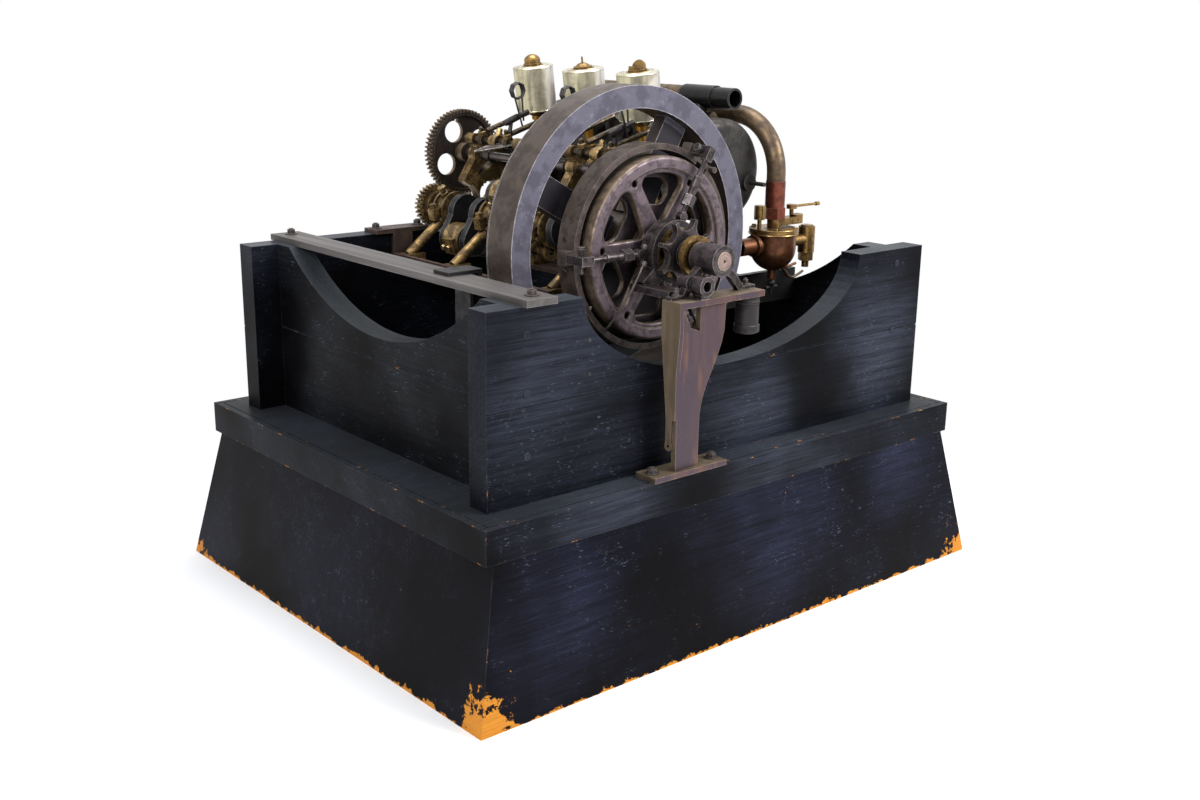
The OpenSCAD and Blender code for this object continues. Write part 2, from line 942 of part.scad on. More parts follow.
// The pad on a rail's flat leg
module strut_pad(y) {
    x0 = -rail_x + strap_t - crank_x;
    z0 = rail_top - rail_h + strap_t - crank_z;
    block([x0, y - pad_half, z0], [x0 + rail_w - strap_t, y + pad_half, z0 + pad_t]);
}

module frame_profile() {
    rock = bank(rocker_s, rocker_t);
    difference() {
        union() {
            circle(r = bearing_r);
            bar2d([0, 0], cam_local, frame_bar_w);
            translate(cam_local) circle(r = cam_ring_r);
            bar2d(cam_local, rock, frame_bar_w / 2);
            translate(rock) circle(r = rocker_boss_r);
            polygon([bank(0, bearing_r - flange_t), bank(bed_s, bed_half - frame_bar_w),
                     bank(bed_s, -bed_half + frame_bar_w), bank(0, -bearing_r + flange_t)]);
            polygon([cam_local, bank(bed_s, bed_half), bank(bed_s, bed_half - 2 * frame_bar_w)]);
            translate([0, -lug_drop]) circle(r = lug_r);
            translate([-lug_r, -lug_drop]) square([2 * lug_r, lug_drop]);
        }
        translate(cam_local) circle(r = cam_shaft_r + fit);
        translate(rock) circle(r = rocker_shaft_r + fit);
        translate([0, -lug_drop]) circle(r = lug_hole_r);
        translate(bank((bearing_r + bed_s) / 2, 0)) circle(r = window_r);
    }
}

module bearing_frame(y) {
    color(bronze) at_crank() difference() {
        union() {
            difference() {
                union() {
                    slab_xz(y - frame_t / 2, y + frame_t / 2) frame_profile();
                    bearing_body(y);
                    rotate([0, -split_angle, 0])
                        block([-ear_t, y - ear_half, -ear_reach], [0, y + ear_half, ear_reach]);
                }
                intersection() {
                    ycyl(ear_reach + ear_t, y - bearing_l, y + bearing_l);
                    cap_side();
                }
            }
            slab_xz(y - frame_t / 2, y + frame_t / 2) frame_top_arm();
            strut(y);
            strut_pad(y);
            mirror([1, 0, 0]) strut(y);
            mirror([1, 0, 0]) strut_pad(y);
        }
        ycyl(shaft_r + fit, y - bearing_l, y + bearing_l);
    }
}

// The arm that the cap's cut would have taken away beyond the ears
module frame_top_arm() {
    difference() {
        bar2d(cam_local * (ear_reach + ear_t / 2) / cam_gap, cam_local, frame_bar_w - arm_inset);
        translate(cam_local) circle(r = cam_shaft_r + fit);
    }
}

module bearing_caps() {
    color(bronze) for (y = all_frame_y) at_crank() difference() {
        union() {
            intersection() {
                bearing_body(y);
                cap_side();
            }
            rotate([0, -split_angle, 0]) {
                difference() {
                    block([0, y - ear_half, -ear_reach], [ear_t, y + ear_half, ear_reach]);
                    ycyl(shaft_r + fit, y - bearing_l, y + bearing_l);
                }
                for (k = [-1, 1]) translate([ear_t, y, k * (ear_reach - ear_stud_r - washer_grow)])
                    rotate([0, 90, 0]) cylinder(r = ear_stud_r + washer_grow, h = ear_nut_h, $fn = 6);
            }
        }
        ycyl(shaft_r + fit, y - bearing_l, y + bearing_l);
    }
}

module cylinder_bed() {
    color(grey_iron) in_bank() difference() {
        block([bed_s, bed_front_y, -bed_half], [bed_s + bed_t, bed_back_y, bed_half]);
        for (y = cyl_y) translate([bed_s - cut, y, 0]) rotate([0, 90, 0])
            cylinder(r = spigot_r + seat, h = bed_t + 2 * cut);
    }
}

// Cylinders

// The round head, turned about Y, with rounded edges
module round_head() {
    for (a = [-90, 90]) rotate([a, 0, 0]) rotate_extrude($fn = 96) {
        square([head_r - head_round, head_half]);
        square([head_r, head_half - head_round]);
        translate([head_r - head_round, head_half - head_round]) intersection() {
            circle(r = head_round);
            square(head_round);
        }
    }
}

// Directions from a head's axis to the exhaust and the intake, in the world's profile plane
head_x = crank_x + head_s * cos(tilt);
head_z = crank_z + head_s * sin(tilt);
exhaust_dir = atan2(exhaust_z - head_z, exhaust_x - head_x);
intake_dir = atan2(intake_z - head_z, carb_x - head_x);
exhaust_gap = norm([exhaust_z - head_z, exhaust_x - head_x]);
intake_gap = norm([intake_z - head_z, carb_x - head_x]);
port_len = 6;

module port_neck(dir) {
    rotate([0, 90 - dir, 0]) cylinder(r = stub_flange_r, h = head_r + port_len);
}

module engine_cylinder(k) {
    y = cyl_y[k];
    color(grey_iron) difference() {
        union() {
            in_bank() translate([0, y, 0]) {
                translate([bed_s + bed_t - spigot_l, 0, 0]) rotate([0, 90, 0])
                    cylinder(r = spigot_r, h = spigot_l + cut);
                block([bed_s + bed_t, -cyl_flange_half_y, -cyl_flange_half_t],
                      [bed_s + bed_t + cyl_flange_t, cyl_flange_half_y, cyl_flange_half_t]);
                translate([bed_s + bed_t, 0, 0]) rotate([0, 90, 0])
                    cylinder(r = barrel_r, h = head_s - bed_s - bed_t);
                translate([head_s, 0, 0]) round_head();
                for (m = [-1, 1]) translate([cage_s, m * cam_off, cage_t]) rotate([0, 90, 0])
                    cylinder(r = cage_r, h = cage_l);
                for (m = [-1, 1]) block([head_s - cage_l, m * cam_off - cage_r, 0],
                                        [cage_s + cage_l, m * cam_off + cage_r, cage_t]);
            }
            translate([head_x, y + port_off, head_z]) {
                port_neck(exhaust_dir);
                port_neck(intake_dir);
            }
            oiler_place(k) translate([0, 0, -oil_boss_t / 2]) cylinder(r = oil_boss_r, h = oil_boss_t / 2);
        }
        in_bank() translate([bed_s, y, 0]) rotate([0, 90, 0])
            cylinder(r = bore_r, h = bore_end_s - bed_s);
    }
}

module igniters() {
    color(grey_iron) for (k = [0 : 2]) {
        rod_l = k == 2 ? igniter_rod_l : igniter_stub_l;
        face_y = cyl_y[k] - head_half;
        translate([head_x + igniter_off * cos(igniter_turn + tilt), 0,
                   head_z + igniter_off * sin(igniter_turn + tilt)]) {
            ycyl(igniter_r, face_y - igniter_boss_t, face_y);
            ycyl(igniter_rod_r, face_y - igniter_boss_t - rod_l, face_y - igniter_boss_t);
        }
    }
}

// Distance of a wrist pin from the shaft, with the crank as drawn
function wrist_place(k) = wrist_s + throw * cos(pin_angle[k] - tilt);

module piston(k) {
    r = bore_r - piston_clear;
    color(steel) in_bank() translate([wrist_place(k), cyl_y[k], 0]) rotate([0, 90, 0]) {
        difference() {
            translate([0, 0, -piston_skirt]) cylinder(r = r, h = piston_skirt + piston_crown);
            translate([0, 0, -piston_skirt - cut])
                cylinder(r = r - piston_wall, h = piston_skirt + piston_crown - piston_wall + cut);
            for (i = [1 : 3]) translate([0, 0, piston_crown - 2 * i * ring_groove_w]) difference() {
                cylinder(r = r + cut, h = ring_groove_w);
                translate([0, 0, -cut]) cylinder(r = r - ring_groove_d, h = ring_groove_w + 2 * cut);
            }
        }
        ycyl(wrist_r, -r + piston_wall / 2, r - piston_wall / 2);
        ycyl(small_end_r, -small_end_half, small_end_half);
        block([-rod_end_half, -rod_t / 2, -piston_skirt], [rod_end_half, rod_t / 2, 0]);
    }
}

// Crank

function pin_place(k) = [throw * cos(pin_angle[k]), throw * sin(pin_angle[k])];

module web(k, y) {
    slab_xz(y, y + web_t) {
        circle(r = web_r);
        translate(pin_place(k)) circle(r = web_pin_r);
        bar2d([0, 0], pin_place(k), 2 * web_pin_r);
    }
}

module crankshaft() {
    color(dark_iron) at_crank() {
        for (k = [0 : 2]) {
            translate([pin_place(k)[0], 0, pin_place(k)[1]])
                ycyl(pin_r, cyl_y[k] - pin_l / 2 - cut, cyl_y[k] + pin_l / 2 + cut);
            web(k, cyl_y[k] - web_end);
            web(k, cyl_y[k] + pin_l / 2);
        }
        ycyl(shaft_r, cyl_y[0] + web_end - cut, shaft_end_y);
        ycyl(shaft_r, cyl_y[1] + web_end - cut, cyl_y[0] - web_end + cut);
        ycyl(shaft_r, cyl_y[2] + web_end - cut, cyl_y[1] - web_end + cut);
        ycyl(shaft_r, nose_y, cyl_y[2] - web_end + cut);
        ycyl(nose_r, shaft_front_y, nose_y);
    }
}

// A rod opened at its shank: the upper end stays with its piston
module connecting_rod(k) {
    color(bronze) in_bank() translate([0, cyl_y[k], 0])
        translate([throw * cos(pin_angle[k] - tilt), 0, throw * sin(pin_angle[k] - tilt)])
        difference() {
            union() {
                ycyl(big_end_r, -big_end_l / 2, big_end_l / 2);
                block([-big_end_r - rod_cap_t / 2, -rod_t, -big_end_r / 2],
                      [0, rod_t, big_end_r / 2]);
                for (m = [-1, 1]) translate([-big_end_r - rod_cap_t / 2, m * rod_t / 2, 0])
                    rotate([0, -90, 0]) cylinder(r = rod_nut_r, h = rod_nut_h, $fn = 6);
                slab_xz(-rod_t / 2, rod_t / 2)
                    polygon([[0, -rod_root_half], [rod_reach, -rod_end_half],
                             [rod_reach, rod_end_half], [0, rod_root_half]]);
            }
            ycyl(pin_r + fit, -big_end_l, big_end_l);
        }
}

fly_back_y = bed_front_y - fly_gap;
fly_front_y = fly_back_y - fly_w;
spoke_mid_y = (fly_back_y + fly_front_y) / 2;
spoke_root = 2;
spoke_turn = 61;

module flywheel() {
    color(steel) at_crank() difference() {
        union() {
            translate([0, fly_back_y, 0]) rotate([90, 0, 0]) rotate_extrude($fn = 128) {
                translate([fly_in_r, 0]) square([fly_r - fly_step - fly_in_r, fly_w]);
                translate([fly_in_r, 2 * fly_step]) square([fly_r - fly_in_r, fly_w - 2 * fly_step]);
                translate([shaft_r, 0]) square([fly_hub_r - shaft_r, fly_w]);
            }
            for (i = [0 : 3]) rotate([0, -spoke_turn - 90 * i, 0])
                block([fly_hub_r - spoke_root, spoke_mid_y - fly_spoke_t / 2, -fly_spoke_w / 2],
                      [fly_in_r + spoke_root, spoke_mid_y + fly_spoke_t / 2, fly_spoke_w / 2]);
        }
        ycyl(shaft_r + fit, fly_front_y - cut, fly_back_y + cut);
    }
}

// A gear's outline: each tooth has its root, pitch and tip points on both flanks
function gear_outline(teeth, turn) =
    let (r = gear_module * teeth / 2, step = 360 / teeth,
         radii = [r - dedendum_share * gear_module, r, r + addendum_share * gear_module])
    [for (i = [0 : teeth - 1]) for (j = [0 : 5])
        let (q = j < 3 ? j : 5 - j, side = j < 3 ? -1 : 1,
             a = turn + step * (i + side * tooth_shares[q]))
        radii[q] * [cos(a), sin(a)]];

module crank_pinion() {
    color(bronze) at_crank() difference() {
        union() {
            slab_xz(gear_y, gear_y + gear_w)
                polygon(gear_outline(pinion_teeth, cam_angle + 180 / pinion_teeth));
            ycyl(pinion_hub_r, gear_y - pinion_hub_l, gear_y);
        }
        ycyl(shaft_r + fit, gear_y - pinion_hub_l - cut, gear_y + gear_w + cut);
    }
}

module cam_gear() {
    color(dark_iron) at_cam() difference() {
        union() {
            slab_xz(gear_y, gear_y + gear_w) difference() {
                polygon(gear_outline(gear_teeth, cam_angle));
                circle(r = gear_rim_r);
            }
            slab_xz(gear_y + gear_web_in, gear_y + gear_w - gear_web_in) difference() {
                circle(r = gear_rim_r + cut);
                for (i = [0 : 3]) rotate(90 * i + cam_angle / 2) translate([gear_hole_ring, 0])
                    circle(r = gear_hole_r);
                rotate(90 + cam_angle / 4) translate([gear_key_hole_ring, 0])
                    circle(r = gear_key_hole_r);
            }
            ycyl(gear_hub_r, gear_y - gear_hub_l, gear_y + gear_w);
        }
        ycyl(cam_shaft_r + fit, gear_y - gear_hub_l - cut, gear_y + gear_w + cut);
    }
}

module camshaft() {
    color(steel) at_cam() {
        ycyl(cam_shaft_r, cam_shaft_front, cam_shaft_back);
        for (k = [0 : 2]) for (m = [-1, 1])
            slab_xz(cyl_y[k] + m * cam_off - cam_w / 2, cyl_y[k] + m * cam_off + cam_w / 2) {
                circle(r = cam_base_r);
                rotate(cam_turns[k] + cam_spread * m)
                    translate([cam_lobe_r - cam_shaft_r / 2, 0]) circle(r = cam_shaft_r / 2);
                rotate(cam_turns[k] + cam_spread * m) polygon([[0, -cam_base_r * cos(30)],
                    [cam_lobe_r - cam_shaft_r / 2, -cam_shaft_r / 2],
                    [cam_lobe_r - cam_shaft_r / 2, cam_shaft_r / 2], [0, cam_base_r * cos(30)]]);
            }
    }
}

// Rings on the shaft: the brass shift sleeve and the copper thrust collar
module shaft_collars() {
    at_crank() {
        color(brass) difference() {
            ycyl(ring_bore_r - sleeve_clear, ring_front_y + seat, ring_front_y + ring_w - seat);
            ycyl(sleeve_in_r, ring_front_y, ring_front_y + ring_w - sleeve_web_t);
            ycyl(nose_r + fit, ring_front_y, ring_front_y + ring_w + cut);
        }
        color(copper) difference() {
            ycyl(collar_r, collar_y, collar_y + collar_t);
            ycyl(nose_r + fit, collar_y - cut, collar_y + collar_t + cut);
        }
    }
}

// Valve gear

module valve_gear() {
    rock = bank(rocker_s, rocker_t);
    color(bronze) {
        at_crank() translate([rock[0], 0, rock[1]])
            ycyl(rocker_shaft_r, cam_shaft_front, all_frame_y[0] + frame_t);
        for (y = cyl_y) for (m = [-1, 1]) in_bank() translate([0, y + m * cam_off, 0]) {
            difference() {
                union() {
                    translate([rocker_s, 0, rocker_t]) ycyl(rocker_boss_r, -rocker_w / 2, rocker_w / 2);
                    slab_xz(-rocker_arm_w / 2, rocker_arm_w / 2) {
                        bar2d([rocker_s, rocker_t], [rocker_s + rocker_boss_r / 2,
                              rocker_t - rocker_boss_r - rocker_arm_w / 4], rocker_arm_w);
                        bar2d([rocker_s, rocker_t], [push_from_s - rocker_arm_w / 2,
                              push_t + push_r], rocker_arm_w);
                    }
                }
                translate([rocker_s, 0, rocker_t]) ycyl(rocker_shaft_r + fit, -rocker_w, rocker_w);
            }
            translate([push_from_s + seat, 0, push_t]) rotate([0, 90, 0])
                cylinder(r = push_r, h = cage_s - push_from_s - 2 * seat);
        }
    }
}

// Tube of a wire along points that lie close to one X-Z plane
function wire_ring(p, t, r) =
    let (n = [-t[2], 0, t[0]] / norm([t[0], t[2]]))
    [for (i = [0 : spring_sides - 1]) let (a = 360 * i / spring_sides)
        p + r * (cos(a) * n + sin(a) * [0, 1, 0])];

function wire_points(path, r) =
    let (last = len(path) - 1)
    [for (i = [0 : last]) let (t = path[min(i + 1, last)] - path[max(i - 1, 0)])
        each wire_ring(path[i], t, r)];

function wire_faces(rings) = concat(
    [[for (j = [0 : spring_sides - 1]) j]],
    [for (i = [0 : rings - 2]) for (j = [0 : spring_sides - 1])
        let (a = i * spring_sides + j, b = i * spring_sides + (j + 1) % spring_sides)
        each [[a, a + spring_sides, b], [b, a + spring_sides, b + spring_sides]]],
    [[for (j = [spring_sides - 1 : -1 : 0]) (rings - 1) * spring_sides + j]]);

// A hairpin: up one leg, two curls, and down the other leg
function spring_path(y) =
    let (c = [spring_top[0], spring_top[1]], n = spring_turns * spring_rings + spring_rings / 2)
    concat([[spring_foot[0], y, spring_foot[1]],
            [(spring_foot[0] + c[0] - coil_r) / 2, y, (spring_foot[1] + c[1]) / 2]],
           [for (i = [0 : n]) let (a = 180 - 360 * i / spring_rings)
               [c[0] + coil_r * cos(a), y + spring_pitch * i / spring_rings, c[1] + coil_r * sin(a)]],
           [[(spring_end[0] + c[0] + coil_r) / 2, y + spring_pitch * n / spring_rings,
             (spring_end[1] + c[1]) / 2],
            [spring_end[0], y + spring_pitch * n / spring_rings, spring_end[1]]]);

// Least gap of the wire to itself, over points more than half a curl apart
function self_gap(path) =
    min([for (i = [0 : len(path) - 1]) for (j = [i + spring_rings / 2 : 1 : len(path) - 1])
        norm(path[i] - path[j])]) - 2 * wire_r;

echo(spring_self_gap = self_gap(spring_path(0)));

module valve_springs() {
    color(dark_iron) for (y = cyl_y) {
        path = spring_path(y - spring_off);
        polyhedron(points = wire_points(path, wire_r), faces = wire_faces(len(path)));
    }
}

// Oilers

// Stands on a barrel's oil boss, leaning towards the shaft
module oiler_place(k) {
    in_bank() translate([oil_foot_s, cyl_y[k], oil_boss_t]) rotate([0, tilt - oiler_lean, 0]) children();
}

module oiler(k) {
    color(tin) oiler_place(k) {
        cylinder(r = stem_r, h = stem_l + cut);
        translate([0, 0, stem_l - neck_l]) cylinder(r = neck_r, h = neck_l);
        translate([0, 0, stem_l]) rotate_extrude() {
            square([can_r - can_round, can_h]);
            translate([0, can_round]) square([can_r, can_h - 2 * can_round]);
            for (z = [can_round, can_h - can_round])
                translate([can_r - can_round, z]) circle(r = can_round);
        }
    }
}

// A brass collar with its top: a dome, a low dome with a pin, or a half dome as a flap
module oiler_cap(k) {
    rise = k == 1 ? cap_h / 2 : cap_h;
    color(brass) oiler_place(k) translate([0, 0, can_rise + seat]) {
        cylinder(r = cap_r, h = cap_rim_h);
        difference() {
            rotate_extrude() intersection() {
                square([cap_r - cap_step, rise]);
                translate([0, rise - cap_dome_r]) circle(r = cap_dome_r);
            }
            if (k == 2) translate([0, 0, cap_rim_h]) rotate([0, cap_flap_turn, 0])
                block([-2 * cap_r, -cap_r, 0], [0, cap_r, 2 * cap_h]);
        }
        if (k == 1) cylinder(r = cap_pin_r, h = cap_h);
    }
}

// Exhaust

module exhaust_manifold() {
    color(dark_iron) {
        translate([exhaust_x, 0, exhaust_z]) ycyl(exhaust_r, outlet_back_y, manifold_back + end_cap_t);
        translate([exhaust_x, 0, exhaust_z])
            ycyl(exhaust_r + end_cap_t / 2, manifold_back, manifold_back + end_cap_t);
        for (k = [0, 1]) translate([head_x, cyl_y[k] + port_off, head_z])
            rotate([0, 90 - exhaust_dir, 0]) translate([0, 0, head_r + port_len]) {
                cylinder(r = port_neck_r, h = exhaust_gap - head_r - port_len);
                cylinder(r = stub_flange_r, h = stub_flange_t);
            }
    }
}

module exhaust_outlet() {
    color(dark_iron) difference() {
        union() {
            translate([exhaust_x, 0, exhaust_z]) {
                ycyl(sleeve_r, outlet_back_y - sleeve_l, outlet_back_y);
                ycyl(outlet_r, outlet_back_y - sleeve_l - outlet_l, outlet_back_y - sleeve_l + cut);
            }
            translate([head_x, cyl_y[2] + port_off, head_z])
                rotate([0, 90 - exhaust_dir, 0]) translate([0, 0, head_r + port_len]) {
                    cylinder(r = port_neck_r, h = exhaust_gap - head_r - port_len);
                    cylinder(r = stub_flange_r, h = stub_flange_t);
                }
        }
        translate([exhaust_x, 0, exhaust_z])
            ycyl(outlet_bore_r, outlet_back_y - sleeve_l - outlet_l - cut,
                 outlet_back_y - sleeve_l - outlet_l + outlet_bore_l);
    }
}

// Intake

module intake_manifold() {
    bend_y = carb_y + bend_r;
    bend_z = intake_z - bend_r;
    color(rust) {
        translate([carb_x, 0, intake_z]) ycyl(intake_r, bend_y, manifold_back);
        translate([carb_x, 0, intake_z])
            ycyl(intake_r + end_cap_t / 2, manifold_back - end_cap_t, manifold_back);
        translate([carb_x, bend_y, bend_z]) rotate([90, 0, 90]) rotate([0, 0, 90])
            rotate_extrude(angle = 90) translate([bend_r, 0]) circle(r = intake_r);
        translate([carb_x, carb_y, riser_z]) cylinder(r = intake_r, h = bend_z - riser_z);
        for (y = cyl_y) translate([head_x, y + port_off, head_z])
            rotate([0, 90 - intake_dir, 0]) translate([0, 0, head_r + port_len]) {
                cylinder(r = port_neck_r, h = intake_gap - head_r - port_len);
                cylinder(r = stub_flange_r, h = stub_flange_t);
            }
    }
}

module at_carb() {
    translate([carb_x, carb_y, 0]) children();
}

module intake_union() {
    low = riser_z - copper_l;
    at_carb() {
        color(copper) translate([0, 0, low]) cylinder(r = copper_r, h = copper_l);
        color(brass) translate([0, 0, low - union_l]) cylinder(r = union_r, h = union_l, $fn = 6);
    }
}

// Carburettor

module carburettor_lid() {
    top = riser_z - copper_l - union_l;
    color(brass) at_carb() {
        translate([0, 0, lid_z]) cylinder(r = lid_r, h = lid_t);
        translate([0, 0, lid_z + lid_t]) cylinder(r = throat_r, h = top - lid_z - lid_t);
        block([0, -arm_half, arm_z], [arm_reach, arm_half, min(arm_z + arm_h, top)]);
        translate([arm_reach, 0, arm_z]) cylinder(r = arm_half, h = arm_h);
        for (m = [-1, 1]) translate([knob_x / 2, m * lid_screw_y, lid_z + lid_t])
            cylinder(r = spindle_r, h = lid_t / 2, $fn = 6);
    }
}

module float_bowl() {
    color(copper) at_carb() difference() {
        union() {
            translate([0, 0, lid_z - bowl_h]) rotate_extrude() {
                square([bowl_r, bowl_h]);
                translate([0, -bowl_r]) intersection() {
                    square(bowl_r);
                    translate([0, bowl_r]) circle(r = bowl_r);
                }
            }
            translate([0, 0, lid_z - bowl_h - bowl_r - plug_l])
                cylinder(r = plug_r, h = plug_l + bowl_r / 2);
            translate([horn_end, 0, elbow_arm_z]) rotate([0, 90, 0])
                cylinder(r = horn_r, h = -horn_end);
            translate([-bowl_r - horn_neck_l, 0, elbow_arm_z]) rotate([0, 90, 0])
                cylinder(r = horn_flange_r, h = horn_flange_t);
            translate([bowl_r / 2, 0, lid_z - bowl_h - bowl_r * 3 / 4]) rotate([0, drip_turn, 0]) {
                cylinder(r = 2 * drip_r, h = bowl_r / 2);
                translate([0, 0, bowl_r / 2 - drip_r]) rotate([0, -drip_bend, 0])
                    cylinder(r = drip_r, h = drip_l);
            }
        }
        translate([horn_end - cut, 0, elbow_arm_z]) rotate([0, 90, 0])
            cylinder(r = horn_bore_r, h = horn_bore_l + cut);
    }
}

module fuel_elbow() {
    color(brass) at_carb() difference() {
        union() {
            translate([elbow_reach, 0, elbow_z]) cylinder(r = elbow_r, h = elbow_h);
            translate([elbow_reach, 0, elbow_z + elbow_h]) cylinder(r = elbow_r * 3 / 4, h = elbow_cap_h);
            translate([bowl_r * 3 / 4, 0, elbow_arm_z]) rotate([0, 90, 0])
                cylinder(r = elbow_arm_r, h = elbow_reach - bowl_r * 3 / 4);
            translate([elbow_reach, 0, elbow_z - elbow_nut_h])
                cylinder(r = elbow_nut_r, h = elbow_nut_h, $fn = 6);
            translate([elbow_reach, 0, elbow_z - elbow_nut_h - elbow_stub_h])
                cylinder(r = elbow_stub_r, h = elbow_stub_h);
        }
        translate([0, 0, elbow_z]) cylinder(r = bowl_r + seat / 2, h = elbow_h);
        translate([0, 0, lid_z - bowl_h]) sphere(r = bowl_r + seat / 2);
    }
}

module throttle_lever() {
    base = arm_z + arm_h + seat;
    color(brass) at_carb() translate([spindle_x, 0, 0]) {
        translate([0, 0, base]) cylinder(r = spindle_r, h = lever_z - base);
        translate([0, 0, lever_z - clamp_h / 2]) cylinder(r = clamp_ball_r, h = clamp_h);
        translate([0, 0, lever_z]) rotate([0, 90, 0]) cylinder(r = lever_r, h = lever_l);
        translate([lever_l - lever_tip_r, 0, lever_z]) rotate([0, 90, 0])
            cylinder(r = lever_tip_r, h = 2 * lever_tip_r);
    }
}

module needle_knob() {
    color(brass) at_carb() translate([knob_x, 0, lid_z + lid_t + seat]) {
        cylinder(r = spindle_r, h = knob_stem_l + cut);
        translate([0, 0, knob_stem_l]) difference() {
            cylinder(r = knob_r, h = knob_h);
            for (i = [0 : knob_flutes - 1]) rotate(360 * i / knob_flutes)
                translate([knob_r + knob_flute_r / 2, 0, -cut])
                    cylinder(r = knob_flute_r, h = knob_h + 2 * cut);
        }
    }
}

module drain_cock() {
    top = lid_z - bowl_h - bowl_r - plug_l - seat;
    color(dark_iron) at_carb() {
        translate([0, 0, top - cock_ball_r]) sphere(r = cock_ball_r);
        translate([0, 0, top - cock_ball_r]) cylinder(r = cock_bar_r, h = cock_ball_r);
        translate([-cock_bar_l / 2, 0, top - 2 * cock_ball_r]) rotate([0, 90, 0])
            cylinder(r = cock_bar_r, h = cock_bar_l);
        translate([0, 0, top - 2 * cock_ball_r - cock_tip_l])
            cylinder(r = cock_bar_r, h = cock_tip_l + cock_ball_r);
    }
}

// Clutch

// A pear-shaped window, wide towards the rim, as two circles and the flanks that touch both
module pear(near, near_r, far, far_r) {
    a = acos((far_r - near_r) / (far - near));
    translate([near, 0]) circle(r = near_r);
    translate([far, 0]) circle(r = far_r);
    polygon([for (c = [[near, near_r, 1], [near, near_r, -1], [far, far_r, -1], [far, far_r, 1]])
        [c[0] - c[1] * cos(a), c[2] * c[1] * sin(a)]]);
}

module clutch_drum() {
    plate_y = drum_front_y + drum_plate_in;
    color(steel) at_crank() rotate([0, -drum_turn, 0]) difference() {
        union() {
            translate([0, drum_back_y, 0]) rotate([90, 0, 0]) rotate_extrude($fn = 128) {
                translate([drum_r - drum_rim_t, 0]) square([drum_rim_t - drum_round, drum_w]);
                translate([drum_r - drum_rim_t, 0]) square([drum_rim_t, drum_w - drum_round]);
                translate([drum_r - drum_round, drum_w - drum_round]) circle(r = drum_round);
                translate([shaft_r, 0]) square([drum_hub_r - shaft_r, drum_w]);
            }
            slab_xz(plate_y, plate_y + drum_spoke_t) difference() {
                circle(r = drum_r - drum_rim_t / 2);
                for (i = [0 : 5]) rotate(60 * i + 30)
                    pear(pear_near, pear_near_r, pear_far, pear_far_r);
            }
            slab_xz(drum_web_y, drum_web_y + drum_web_t) difference() {
                circle(r = drum_r - drum_rim_t / 2);
                for (i = [0 : 5]) rotate(60 * i + 30) {
                    for (k = [-1, 1]) translate([drum_hole_ring, k * drum_hole_stretch / 2])
                        circle(r = drum_hole_r);
                    translate([drum_hole_ring - drum_hole_r, -drum_hole_stretch / 2])
                        square([2 * drum_hole_r, drum_hole_stretch]);
                }
            }
        }
        ycyl(shaft_r + fit, drum_front_y - cut, drum_back_y + cut);
        for (i = [0 : 5]) rotate([0, -60 * i, 0]) translate([drum_eye_ring, 0, 0])
            ycyl(drum_eye_r, drum_front_y - cut, drum_web_y - drum_web_t);
    }
}

// Place of a lug on the band, turned to an angle
module on_band(angle) {
    rotate([0, -angle, 0]) children();
}

module clutch_band() {
    out = band_in_r + band_t;
    front = band_back_y - band_w;
    color(dark_iron) at_crank() difference() {
        union() {
            ycyl(out, front, band_back_y);
            for (a = rod_angles) on_band(a) block([band_in_r + band_t / 2, front, -lug_w / 2],
                                                  [out + lug_h, front + band_w / 2, lug_w / 2]);
        }
        ycyl(band_in_r, front - cut, band_back_y + cut);
        slab_xz(front - cut, band_back_y + cut)
            polygon([[0, 0], 2 * out * [cos(band_split - band_gap_angle), sin(band_split - band_gap_angle)],
                     2 * out * [cos(band_split + band_gap_angle), sin(band_split + band_gap_angle)]]);
    }
    // The upper end runs on straight over the gap, to its pin
    color(dark_iron) at_crank() on_band(band_split + band_gap_angle) {
        block([out - arm_out / 3, front + arm_out / 3, -arm_l],
              [out + arm_out, band_back_y - arm_out / 3, lug_w / 2]);
        translate([out + arm_pin_r / 2, 0, -arm_l]) ycyl(arm_pin_r, front - arm_pin_out, band_back_y - band_w / 4);
    }
}

// Three adjusting rods between the control ring and the band's lugs
module band_rods() {
    out = band_in_r + band_t;
    front = band_back_y - band_w;
    foot = ring_r + adj_eye_r + seat;
    color(grey_iron) at_crank() for (a = rod_angles) on_band(a) {
        translate([foot, 0, 0]) ycyl(adj_eye_r, rod_plane_y - adj_eye_half, rod_plane_y + adj_eye_half);
        translate([foot, rod_plane_y, 0]) rotate([0, 90, 0]) {
            cylinder(r = adj_rod_r, h = out - foot);
            translate([0, 0, adj_sleeve_at]) cylinder(r = adj_sleeve_r, h = adj_sleeve_l, $fn = 6);
            translate([0, 0, adj_sleeve_at + adj_sleeve_l]) cylinder(r = adj_tube_r, h = adj_tube_l);
        }
        block([out - lug_h / 2, rod_plane_y - adj_block_half, -lug_w / 3],
              [out + lug_h, rod_plane_y + adj_block_half, lug_w / 3]);
        block([out + seat, rod_plane_y, -lug_w / 3], [out + lug_h, front, lug_w / 3]);
    }
}

module control_ring() {
    back = ring_front_y + ring_w;
    foot_y = aleg_y + aleg_t / 2 + bolt_r / 2 + washer_grow + seat;
    foot_local = ring_foot_x - crank_x;
    color(dark_iron) at_crank() difference() {
        union() {
            ycyl(ring_r, ring_front_y, back);
            slab_xz(ring_front_y, back)
                bar2d([0, 0], [foot_local, plate_z - crank_z + ring_foot_t / 2], 2 * ring_foot_half);
            block([foot_local - ring_foot_half, foot_y, plate_z - crank_z],
                  [foot_local + ring_foot_half, back, plate_z - crank_z + ring_foot_t]);
        }
        ycyl(ring_bore_r, ring_front_y - cut, back + cut);
        block([foot_local - plate_l, foot_y - cut, plate_z - crank_z - plate_l],
              [foot_local + plate_l, back + cut, plate_z - crank_z]);
    }
}

